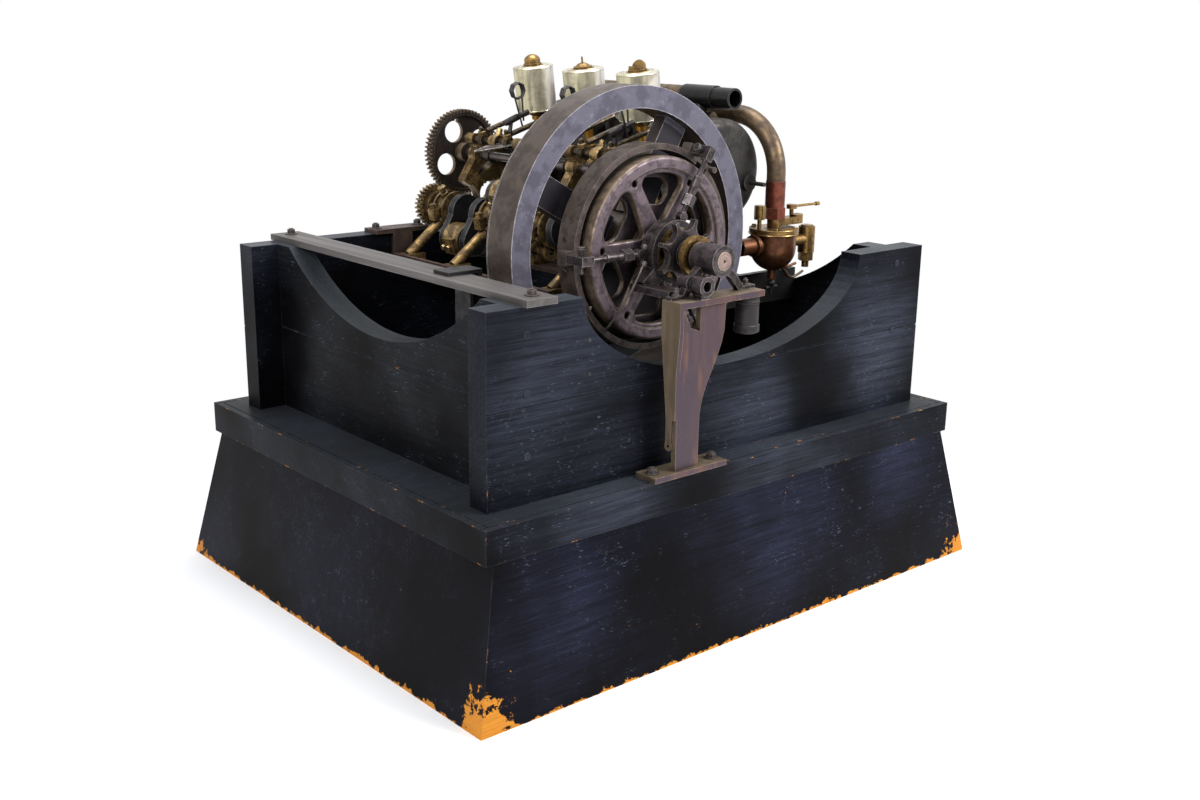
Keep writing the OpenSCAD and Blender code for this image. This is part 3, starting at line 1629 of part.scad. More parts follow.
module shift_spider() {
    color(grey_iron) at_crank() difference() {
        union() {
            slab_xz(star_y - star_t, star_y) rotate(star_turn) difference() {
                circle(r = star_r);
                for (i = [0 : star_points - 1]) rotate(360 * (i + 0.5) / star_points)
                    translate([star_r, 0]) circle(r = star_bite_r);
            }
            ycyl(hub_r, star_hub_front, star_y);
        }
        ycyl(nose_r + fit, star_hub_front - cut, star_y + cut);
    }
}

// Outboard bearing and bracket

// A leg from the bearing to its foot, by way of its knee
module bent_leg(knee, foot) {
    bar2d([0, 0], knee, aleg_w);
    translate(knee) circle(r = aleg_w / 2);
    bar2d(knee, foot, aleg_w);
}

module outboard_bearing() {
    foot_z = plate_z - crank_z;
    color(grey_iron) at_crank() difference() {
        union() {
            ycyl(out_r, out_front_y, out_front_y + out_l);
            slab_xz(aleg_y, aleg_y + aleg_t) {
                bent_leg(left_knee, [left_foot_x + foot_pad_half - crank_x, foot_z + foot_pad_h / 2]);
                bent_leg(right_knee, [right_foot_x - foot_pad_half - crank_x, foot_z + foot_pad_h / 2]);
                for (x = [left_foot_x, right_foot_x]) translate([x - crank_x - foot_pad_half, foot_z])
                    square([2 * foot_pad_half, foot_pad_h]);
            }
            translate([left_knee[0], 0, left_knee[1]])
                ycyl(leg_boss_r, tube_front_y + tube_l + seat, aleg_y + aleg_t + leg_boss_out);
        }
        ycyl(nose_r + fit, out_front_y - cut, out_front_y + out_l + cut);
        ycyl(end_step_r, out_front_y - cut, out_front_y + end_step_d);
        translate([0, out_front_y + out_l / 3, 0]) cylinder(r = oil_hole_r, h = out_r + cut);
        block([-plate_l, aleg_y - cut, foot_z - plate_l], [plate_l, aleg_y + aleg_t + cut, foot_z]);
    }
}

module control_tube() {
    z = plate_z + tube_r + tube_lift;
    color(grey_iron) difference() {
        union() {
            translate([tube_x, 0, z]) ycyl(tube_r, tube_front_y, tube_front_y + tube_l);
            block([tube_x - saddle_half, plate_front_y, plate_z],
                  [tube_x + saddle_half, tube_front_y + tube_l, z]);
        }
        translate([tube_x, 0, z]) ycyl(tube_bore_r, tube_front_y - cut, tube_front_y + tube_l + cut);
    }
}

function smooth(u) = let (v = min(max(u, 0), 1)) v * v * (3 - 2 * v);

// Middle and width of the leg at a height
function leg_mid(z) = leg_top_x - leg_sweep * smooth((leg_bend_top - z) / (leg_bend_top - leg_bend_low));
function leg_width(z) =
    leg_foot_w + (leg_top_w - leg_foot_w) * (z - slab_z) / (plate_z - slab_z);

module leg_profile() {
    low = slab_z + foot_t;
    high = plate_z - plate_t;
    heights = [for (i = [0 : leg_steps]) low + (high - low) * i / leg_steps];
    polygon(concat([for (z = heights) [leg_mid(z) - leg_width(z) / 2, z]],
                   [for (i = [leg_steps : -1 : 0]) let (z = heights[i])
                       [leg_mid(z) + leg_width(z) / 2, z]]));
}

module bearing_bracket() {
    under = plate_z - plate_t;
    color(rust) difference() {
        union() {
            block([plate_left_x, plate_front_y, under],
                  [plate_left_x + plate_l, plate_front_y + plate_w, plate_z]);
            slab_xz(leg_y, leg_y + plate_t) leg_profile();
            slab_xz(leg_y, leg_y + plate_t) polygon([
                [plate_left_x, under], [plate_left_x + skin_top_w, under],
                [plate_left_x + skin_mid_w, skin_mid_z], [leg_mid(skin_low_z), skin_low_z],
                [leg_mid(leg_bend_low), leg_bend_low], [plate_left_x, leg_bend_low]]);
            slab_yz(plate_left_x, plate_left_x + rib_t) polygon([
                [plate_front_y + plate_w, under], [plate_front_y, under],
                [plate_front_y, under - plate_w], [rib_y - rib_low_w / 2, leg_bend_low],
                [rib_y - rib_low_w / 2, rib_low_z], [rib_y + rib_low_w / 2, rib_low_z],
                [rib_y + rib_low_w / 2, leg_bend_low], [plate_front_y + plate_w, under - plate_w]]);
            translate([plate_left_x, rib_y, rib_low_z]) rotate([0, 90, 0]) cylinder(r = eye_r, h = rib_t);
            block([foot_mid_x - foot_l / 2, foot_front_y, slab_z],
                  [foot_mid_x + foot_l / 2, foot_front_y + foot_w, slab_z + foot_t]);
            translate([cup_x, cup_y, under - cup_l]) cylinder(r = cup_top_r, h = cup_step + cut);
            translate([cup_x, cup_y, under - cup_l + cup_step]) cylinder(r = cup_r, h = cup_l - cup_step);
        }
        translate([plate_left_x - cut, rib_y, rib_low_z]) rotate([0, 90, 0])
            cylinder(r = eye_hole_r, h = rib_t + 2 * cut);
    }
}

plinth_boards();
stand_slab();
wall_front();
wall_back();
wall_left();
wall_right();
side_bar();
bar_clamp();
hanger_rails();
cross_bar();
frame_bolts();
bearing_frame(all_frame_y[0]);  // bearing_frame_1
bearing_frame(all_frame_y[1]);  // bearing_frame_2
bearing_frame(all_frame_y[2]);  // bearing_frame_3
bearing_frame(all_frame_y[3]);  // bearing_frame_4
bearing_caps();
cylinder_bed();
engine_cylinder(0);  // cylinder_1
engine_cylinder(1);  // cylinder_2
engine_cylinder(2);  // cylinder_3
igniters();
piston(0);  // piston_1
piston(1);  // piston_2
piston(2);  // piston_3
crankshaft();
connecting_rod(0);  // connecting_rod_1
connecting_rod(1);  // connecting_rod_2
connecting_rod(2);  // connecting_rod_3
flywheel();
crank_pinion();
shaft_collars();
camshaft();
cam_gear();
valve_gear();
valve_springs();
oiler(0);  // oiler_1
oiler(1);  // oiler_2
oiler(2);  // oiler_3
oiler_cap(0);  // oiler_cap_1
oiler_cap(1);  // oiler_cap_2
oiler_cap(2);  // oiler_cap_3
exhaust_manifold();
exhaust_outlet();
intake_manifold();
intake_union();
float_bowl();
carburettor_lid();
fuel_elbow();
throttle_lever();
needle_knob();
drain_cock();
clutch_drum();
clutch_band();
band_rods();
control_ring();
shift_spider();
outboard_bearing();
control_tube();
bearing_bracket();
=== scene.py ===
"""Looks of a three-cylinder inclined automobile engine on its black wooden stand.

Everything ends in metres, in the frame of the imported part: +X runs along the clutch side,
+Y from the clutch side to the gear side, +Z up, with the origin under the middle of the stand.
The sub-assemblies hold their sizes in millimetres, and the studio holds its own in metres.
"""

import logging
import math
from dataclasses import dataclass, field
from enum import Enum
from typing import Any, Sequence

import bpy
import bmesh
from mathutils import Matrix, Vector, geometry


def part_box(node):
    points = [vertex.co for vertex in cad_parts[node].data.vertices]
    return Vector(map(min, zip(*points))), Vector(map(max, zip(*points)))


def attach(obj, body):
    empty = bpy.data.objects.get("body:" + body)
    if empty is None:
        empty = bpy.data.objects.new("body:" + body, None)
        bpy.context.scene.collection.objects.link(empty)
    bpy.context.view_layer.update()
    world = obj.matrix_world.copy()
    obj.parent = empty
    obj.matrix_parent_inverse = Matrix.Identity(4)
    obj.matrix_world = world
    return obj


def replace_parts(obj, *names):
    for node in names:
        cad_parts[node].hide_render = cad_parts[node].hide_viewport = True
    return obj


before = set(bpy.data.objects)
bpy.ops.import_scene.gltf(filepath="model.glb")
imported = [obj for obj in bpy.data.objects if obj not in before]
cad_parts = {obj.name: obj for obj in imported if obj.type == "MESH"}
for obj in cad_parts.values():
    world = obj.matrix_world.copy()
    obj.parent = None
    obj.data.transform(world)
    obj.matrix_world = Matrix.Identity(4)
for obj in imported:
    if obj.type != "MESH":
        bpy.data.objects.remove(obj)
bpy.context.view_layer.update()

LOG = logging.getLogger("engine")
MM = 0.001

Tree = bpy.types.NodeTree
Socket = bpy.types.NodeSocket
Point = Sequence[float]
Profile = Sequence[tuple[float, float]]
# A place on the stand and how far it reaches, in metres
Spot = tuple[float, float, float, float]


def middle(node: str) -> Vector:
    """Finds the middle of a node's box, in millimetres."""
    low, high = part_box(node)
    return (Vector(low) + Vector(high)) / (2 * MM)


CRANK_AXIS = middle("flywheel")
# The middle of each cylinder's row, from the gear side
ROWS_Y = [middle(f"oiler_{k}").y for k in (1, 2, 3)]
# How far the oil cans lean towards -X, in degrees
CAN_LEAN = 7.8


def on_shaft(y: float) -> Vector:
    """Gives the point of the crank's axis at a place along it, in millimetres."""
    return Vector((CRANK_AXIS.x, y, CRANK_AXIS.z))


def aim(degrees: float) -> Vector:
    """Points at an angle from +X up to +Z, as seen from the clutch side."""
    return Vector((math.cos(math.radians(degrees)), 0.0, math.sin(math.radians(degrees))))


def rgba(hex_colour: str) -> tuple[float, float, float, float]:
    """Turns an sRGB hex colour to linear light, by the curve of the sRGB standard.

    Args:
        hex_colour: The colour as "#rrggbb".

    Returns:
        Linear red, green and blue, and alpha 1.
    """
    parts = [int(hex_colour[i : i + 2], 16) / 255 for i in (1, 3, 5)]
    linear = [c / 12.92 if c <= 0.04045 else ((c + 0.055) / 1.055) ** 2.4 for c in parts]
    return (*linear, 1.0)


def add_node(tree: Tree, kind: str, inputs: dict[Any, Any] | None = None, **settings: Any) -> bpy.types.Node:
    """Adds one node with its settings and links.

    Args:
        tree: The node tree.
        kind: The node's type name.
        inputs: Input names or numbers, each with a value, a hex colour or another node's output.
        settings: The node's own properties.

    Returns:
        The new node.
    """
    made = tree.nodes.new(kind)
    for name, value in settings.items():
        setattr(made, name, value)
    for key, value in (inputs or {}).items():
        if isinstance(value, Socket):
            tree.links.new(value, made.inputs[key])
        elif isinstance(value, str) and value.startswith("#"):
            made.inputs[key].default_value = rgba(value)
        else:
            made.inputs[key].default_value = value
    return made


@dataclass(frozen=True)
class Band:
    """The stretch of a value, from start to full, over which a mask goes from least to most."""

    value: Socket
    start: float
    full: float
    most: float = 1.0
    least: float = 0.0


def mask(tree: Tree, *bands: Band | Socket, joined: str = "MULTIPLY") -> Socket:
    """Joins bands and ready masks into one mask.

    Args:
        tree: The node tree.
        bands: The bands and masks.
        joined: The arithmetic that joins each to the ones before it.

    Returns:
        The mask.
    """
    whole: Any = None
    for band in bands:
        part: Any = band
        if isinstance(band, Band):
            part = add_node(tree, "ShaderNodeMapRange", {
                "Value": band.value, "From Min": band.start, "From Max": band.full,
                "To Min": band.least, "To Max": band.most}).outputs[0]
        if whole is None:
            whole = part
        else:
            whole = add_node(tree, "ShaderNodeMath", {0: whole, 1: part}, operation=joined).outputs[0]
    return whole


def lay(tree: Tree, ground: str | Socket, *coats: tuple[Band | Socket, str | Socket]) -> Socket:
    """Lays coats of colour over a ground, each as far as its mask goes.

    Args:
        tree: The node tree.
        ground: The colour underneath, as a hex colour or an output.
        coats: Each coat's mask and colour, the lowest first.

    Returns:
        The colour that shows.
    """
    for share, colour in coats:
        ground = add_node(tree, "ShaderNodeMix", {0: mask(tree, share), 6: ground, 7: colour},
                          data_type="RGBA").outputs[2]
    return ground


def patches(tree: Tree, place: Socket, size_mm: float, detail: float, rough: float,
            **moved: Point) -> Socket:
    """Spreads cloudy patches of a real size.

    Args:
        tree: The node tree.
        place: The Object coordinates.
        size_mm: The patches' size.
        detail: How many finer layers they have.
        rough: How strong the finer layers are.
        moved: The Location, Rotation or Scale that moves, turns or draws out the pattern.

    Returns:
        The patches' value, near one half on the whole.
    """
    laid = add_node(tree, "ShaderNodeMapping", {"Vector": place, **moved}).outputs["Vector"]
    return add_node(tree, "ShaderNodeTexNoise", {"Vector": laid, "Scale": 1 / (size_mm * MM),
                                                 "Detail": detail, "Roughness": rough}).outputs[0]


def near(tree: Tree, place: Socket, spot: Spot, most: float = 1.0, fall: str = "LINEAR") -> Socket:
    """Measures how near a point is to a spot.

    Args:
        tree: The node tree.
        place: The Object coordinates.
        spot: The spot.
        most: What the spot's middle gives.
        fall: How it falls to nothing at the spot's reach.

    Returns:
        The nearness.
    """
    *at, reach = spot
    away = add_node(tree, "ShaderNodeVectorMath", {0: place, 1: at}, operation="DISTANCE").outputs["Value"]
    return add_node(tree, "ShaderNodeMapRange", {"Value": away, "From Min": reach, "From Max": 0.0,
                                                 "To Max": most}, interpolation_type=fall).outputs[0]


def edges(tree: Tree, reach_mm: float, start: float = 0.99, full: float = 0.88) -> Socket:
    """Finds the outer and inner edges of a piece.

    Args:
        tree: The node tree.
        reach_mm: How far from the edge the mask reaches.
        start: The turn of the normal, as a cosine, at which it starts.
        full: The turn at which it is full.

    Returns:
        1 on an edge and 0 away from it.
    """
    bevel = add_node(tree, "ShaderNodeBevel", {"Radius": reach_mm * MM}, samples=4)
    surface = add_node(tree, "ShaderNodeNewGeometry")
    facing = add_node(tree, "ShaderNodeVectorMath",
                      {0: bevel.outputs["Normal"], 1: surface.outputs["True Normal"]},
                      operation="DOT_PRODUCT")
    return mask(tree, Band(facing.outputs["Value"], start, full))


class Grain(Enum):
    """How the marks of a surface run: the scale along X, Y and Z that draws them out."""

    NONE = (1.0, 1.0, 1.0)
    ALONG_X = (0.04, 1.0, 1.0)
    ALONG_Y = (1.0, 0.04, 1.0)
    ALONG_Z = (1.0, 1.0, 0.05)
    DOWN = (1.0, 1.0, 0.22)


@dataclass(frozen=True)
class Finish:
    """What every finish has: a name, and a skin that feeds one shader."""

    name: str

    def skin(self, tree: Tree, place: Socket, normal: Socket) -> dict[str, Any]:
        """Each kind of finish works out its own shader's inputs."""
        raise NotImplementedError

    def build(self) -> bpy.types.Material:
        """Makes the material.

        Returns:
            The new material.
        """
        made = bpy.data.materials.new(self.name)
        made.use_nodes = True
        tree = made.node_tree
        tree.nodes.clear()
        coords = add_node(tree, "ShaderNodeTexCoord").outputs
        skin = self.skin(tree, coords["Object"], coords["Normal"])
        shader = add_node(tree, "ShaderNodeBsdfPrincipled", skin)
        add_node(tree, "ShaderNodeOutputMaterial", {"Surface": shader.outputs["BSDF"]})
        return made


@dataclass(frozen=True)
class Metal(Finish):
    """An aged metal: base, two patinas, dark specks of dirt, painted shade in the hollows, rubbed edges,
    turned sides and a painted shade over the core.
    """

    base: str
    patina: str
    # The metals' second patina; the boards use a field of the same name for their painted glare
    bloom_and_glare: str
    # The dirt colour: dirt in the pits, and painted shade in the hollows
    dirt_and_shade: str
    edge: str
    metallic: float
    smooth: float
    rough: float
    side: str = ""
    side_patina: str = ""
    # A painted shade over what lies near the shaft, such as spokes and webs behind a rim
    core_shade: str = ""
    core_mm: float = 0.0
    deep_mm: float = 0.0
    fade_mm: float = 6.0
    blotch_mm: float = 22.0
    patina_share: float = 0.5
    bloom_share: float = 0.3
    hollow_shade_share: float = 0.85
    edge_share: float = 0.8
    edge_mm: float = 1.3
    # The metal's own grit is finer; it is drawn as coarse as it needs to show
    pit_mm: float = 2.2
    pit_depth_mm: float = 0.15
    hollow_mm: float = 16.0
    grain: Grain = Grain.NONE
    streaked: bool = False

    def core_shade_mask(self, tree: Tree, place: Socket) -> Socket:
        """Finds what lies near the shaft, and deep in from the clutch side where a depth is given, where a
        painted shade goes.

        Args:
            tree: The node tree.
            place: The Object coordinates.

        Returns:
            1 in the core and 0 outside it.
        """
        flat = add_node(tree, "ShaderNodeVectorMath", {0: place, 1: (1.0, 0.0, 1.0)}, operation="MULTIPLY")
        away = add_node(tree, "ShaderNodeVectorMath", {0: flat.outputs["Vector"], 1: on_shaft(0.0) * MM},
                        operation="DISTANCE").outputs["Value"]
        bands = [Band(away, (self.core_mm + 1) * MM, self.core_mm * MM)]
        if self.deep_mm:
            inward = add_node(tree, "ShaderNodeSeparateXYZ", {"Vector": place}).outputs["Y"]
            bands.append(Band(inward, self.deep_mm * MM, (self.deep_mm + self.fade_mm) * MM))
        return mask(tree, *bands)

    def skin(self, tree: Tree, place: Socket, normal: Socket) -> dict[str, Any]:
        """Works out the shader's inputs.

        Args:
            tree: The node tree.
            place: The Object coordinates.
            normal: The surface's normal in the object's own axes.

        Returns:
            The shader's inputs by name.
        """
        drawn = self.grain.value if self.streaked else Grain.NONE.value
        # Streaks have few finer layers and fade softly; blotches have many and end sharply
        detail, finer, soft = (2.0, 2.0, 0.3) if self.streaked else (6.0, 5.0, 0.12)
        blotch = patches(tree, place, self.blotch_mm, detail, 0.6, Scale=drawn)
        second = patches(tree, place, self.blotch_mm * 0.6, finer, 0.7, Scale=drawn,
                         Location=(3.1, 1.7, 5.3))
        pits = patches(tree, place, self.pit_mm, 4.0, 0.6, Scale=self.grain.value)
        # The patches' values lie mostly between 0.3 and 0.7, and a larger share takes in more of them
        low = 0.32 + 0.2 * self.patina_share
        high = 0.66 - 0.2 * self.bloom_share
        aged = mask(tree, Band(blotch, low + soft, low))
        bloomed = mask(tree, Band(second, high, high + 0.02 + soft, 0.85))
        tone = lay(tree, self.base, (aged, self.patina), (bloomed, self.bloom_and_glare))
        # Painted shade over the core near the shaft
        if self.core_shade:
            tone = lay(tree, tone, (self.core_shade_mask(tree, place), self.core_shade))
        if self.side:
            across = add_node(tree, "ShaderNodeSeparateXYZ", {"Vector": normal}).outputs["Y"]
            facing = add_node(tree, "ShaderNodeMath", {0: across}, operation="ABSOLUTE").outputs[0]
            turned = lay(tree, self.side, (aged, self.side_patina), (bloomed, self.side))
            tone = lay(tree, tone, (Band(facing, 0.85, 0.6), turned))
        # Painted shade: the hollows are darkened towards the dirt colour as far as the occlusion finds them
        # shut in
        hollow = add_node(tree, "ShaderNodeAmbientOcclusion", {"Distance": self.hollow_mm * MM}, samples=6)
        worn = mask(tree, edges(tree, self.edge_mm), Band(second, 0.3, 0.6, self.edge_share))
        colour = lay(tree, tone, (Band(pits, 0.56, 0.72, 0.4), self.dirt_and_shade),
                     (Band(hollow.outputs["AO"], 0.92, 0.35, self.hollow_shade_share), self.dirt_and_shade), (worn, self.edge))
        relief = add_node(tree, "ShaderNodeBump", {"Height": pits, "Distance": self.pit_depth_mm * MM,
                                                   "Strength": 0.6})
        return {"Base Color": colour, "Metallic": self.metallic, "Normal": relief.outputs["Normal"],
                "Roughness": mask(tree, Band(blotch, 0.35, 0.65, self.smooth, self.rough))}


@dataclass(frozen=True)
class PaintedBoard(Finish):
    """Oak under old black oil paint: brushed along the grain, with bare wood where it has rubbed, and with
    painted sheen and painted glare laid into its colour.
    """

    paint: str = "#060608"
    # Painted sheen: a bluish reflection laid into the paint's colour in broad patches
    painted_sheen: str = "#2d313d"
    scratch: str = "#7d8599"
    bare: str = "#e39b3c"
    bare_dark: str = "#9a5a1c"
    edge: str = "#34373f"
    # Where the boards face up: settled dust, and lighter also with painted sheen
    dust_and_sheen: str = "#565b60"
    # The colour of the painted glare: a reflection of a soft light, laid on at the glare spots
    bloom_and_glare: str = "#3f4350"
    grain: Grain = Grain.ALONG_X
    # Oak's pores lie closer than this; they are drawn as coarse as they need to show
    grain_mm: float = 2.4
    stroke_mm: float = 6.0
    chip_mm: float = 26.0
    cloud_mm: float = 230.0
    flaw_mm: float = 1.5
    edge_mm: float = 2.5
    foot_mm: float = 13.0
    relief_mm: float = 0.4
    chips: float = 0.3
    sheen_share: float = 0.8
    dust_and_sheen_share: float = 0.5
    # Spots of painted glare, each a place and its reach
    glare_spots: tuple[Spot, ...] = ()
    worn_spots: tuple[Spot, ...] = ()

    def bare_mask(self, tree: Tree, place: Socket, edge: Socket, chip: Socket) -> Socket:
        """Finds where the paint is off: along edges, at the worn spots and along the foot.

        Args:
            tree: The node tree.
            place: The Object coordinates.
            edge: The mask of the edges.
            chip: The patches that break up the paint's edge.

        Returns:
            1 on bare wood and 0 on paint.
        """
        # More chips start lower in the patches' values, which lie mostly between 0.3 and 0.7
        low = 0.67 - 0.1 * self.chips
        share = mask(tree, edge, Band(chip, low, low + 0.02))
        for spot in self.worn_spots:
            worn = mask(tree, near(tree, place, spot, 0.42), chip, joined="ADD")
            share = mask(tree, share, Band(worn, 0.72, 0.735), joined="MAXIMUM")
        if self.worn_spots:
            height = add_node(tree, "ShaderNodeSeparateXYZ", {"Vector": place}).outputs["Z"]
            foot = mask(tree, Band(height, self.foot_mm * MM, 0.0, 0.26), chip, joined="ADD")
            share = mask(tree, share, Band(foot, 0.7, 0.72), joined="MAXIMUM")
        return share

    def skin(self, tree: Tree, place: Socket, normal: Socket) -> dict[str, Any]:
        """Works out the shader's inputs.

        Args:
            tree: The node tree.
            place: The Object coordinates.
            normal: The surface's normal in the object's own axes.

        Returns:
            The shader's inputs by name.
        """
        drawn = self.grain.value
        # The brush's flecks are shorter than the grain and turned a little off it
        short = tuple(max(s, 0.14) for s in drawn)
        fibre = patches(tree, place, self.grain_mm, 5.0, 0.7, Scale=drawn)
        brushed = patches(tree, place, self.stroke_mm, 4.0, 0.65, Scale=drawn, Location=(0.2, 0.6, 0.1))
        chip = patches(tree, place, self.chip_mm, 7.0, 0.72)
        cloud = patches(tree, place, self.cloud_mm, 2.5, 0.5)
        flaw = patches(tree, place, self.flaw_mm, 3.0, 0.6, Location=(0.7, 0.2, 0.9),
                       Rotation=(0.0, 0.12, 0.0), Scale=short)
        strokes = mask(tree, Band(fibre, 0.35, 0.66, 1.0, 0.45), Band(brushed, 0.32, 0.66, 1.0, 0.35))
        # Painted sheen in broad patches, broken up by the brush strokes
        sheen_mask = mask(tree, Band(cloud, 0.4, 0.68, self.sheen_share), strokes)
        patchy = mask(tree, strokes, Band(cloud, 0.36, 0.62, 0.9, 0.25))
        # Painted glare at the glare spots, in soft patches
        glares = [mask(tree, near(tree, place, spot, fall="SMOOTHSTEP"), patchy)
                  for spot in self.glare_spots]
        marks = mask(tree, Band(flaw, 0.6, 0.7, 0.9), Band(chip, 0.5, 0.64),
                     Band(cloud, 0.42, 0.6, 1.0, 0.15))
        # Dust and painted sheen: the faces that look up are made lighter
        upward = add_node(tree, "ShaderNodeSeparateXYZ", {"Vector": normal}).outputs["Z"]
        dust_and_sheen_mask = mask(tree, Band(upward, 0.15, 0.9, self.dust_and_sheen_share), Band(fibre, 0.3, 0.62, 1.0, 0.55))
        edge = edges(tree, self.edge_mm, 0.995, 0.9)
        dulled = mask(tree, edge, Band(chip, 0.35, 0.6, 0.8))
        wood = lay(tree, self.bare, (fibre, self.bare_dark))
        colour = lay(tree, self.paint, (sheen_mask, self.painted_sheen), *((glow, self.bloom_and_glare) for glow in glares),
                     (marks, self.scratch), (dust_and_sheen_mask, self.dust_and_sheen), (dulled, self.edge),
                     (self.bare_mask(tree, place, edge, chip), wood))
        relief = add_node(tree, "ShaderNodeBump", {"Height": fibre, "Distance": self.relief_mm * MM,
                                                   "Strength": 0.5})
        # Old oil paint under dust reflects less than a fresh coat, so its specular level is far down
        return {"Base Color": colour, "Specular IOR Level": 0.05, "Normal": relief.outputs["Normal"],
                "Roughness": mask(tree, Band(cloud, 0.3, 0.7, 0.3, 0.46))}


@dataclass(frozen=True)
class TinnedCan(Finish):
    """Tinned sheet rolled into a can, on a brass stem, split at a height along the lean, with painted
    reflections in its colour.
    """

    sheet: str = "#dcd9d6"
    yellow_reflection: str = "#d9d0ae"
    tarnish_and_reflection: str = "#97907f"
    brass: str = "#bb8a3c"
    metallic: float = 0.92
    split_mm: float = 815.5
    streak_mm: float = 9.0
    cloud_mm: float = 34.0
    relief_mm: float = 0.04

    def skin(self, tree: Tree, place: Socket, normal: Socket) -> dict[str, Any]:
        """Works out the shader's inputs.

        Args:
            tree: The node tree.
            place: The Object coordinates.
            normal: The surface's normal in the object's own axes.

        Returns:
            The shader's inputs by name.
        """
        height = add_node(tree, "ShaderNodeVectorMath", {0: place, 1: aim(90 + CAN_LEAN)},
                          operation="DOT_PRODUCT").outputs["Value"]
        streak = patches(tree, place, self.streak_mm, 3.0, 0.55, Scale=Grain.ALONG_Z.value)
        cloud = patches(tree, place, self.cloud_mm, 5.0, 0.6)
        across = add_node(tree, "ShaderNodeSeparateXYZ", {"Vector": normal}).outputs["X"]
        # Painted reflection: yellow on the side facing -X, and grey streaks round the roll for reflected
        # bands; the grey clouds are tarnish
        colour = lay(tree, self.yellow_reflection, (Band(across, -0.9, 0.6), self.sheet),
                     (Band(cloud, 0.5, 0.68, 0.8), self.tarnish_and_reflection),
                     (Band(streak, 0.46, 0.66, 0.6), self.tarnish_and_reflection),
                     (Band(height, (self.split_mm + 1) * MM, self.split_mm * MM), self.brass))
        relief = add_node(tree, "ShaderNodeBump", {"Height": streak, "Distance": self.relief_mm * MM,
                                                   "Strength": 0.4})
        return {"Base Color": colour, "Metallic": self.metallic, "Normal": relief.outputs["Normal"],
                "Roughness": mask(tree, Band(cloud, 0.3, 0.7, 0.42, 0.27))}


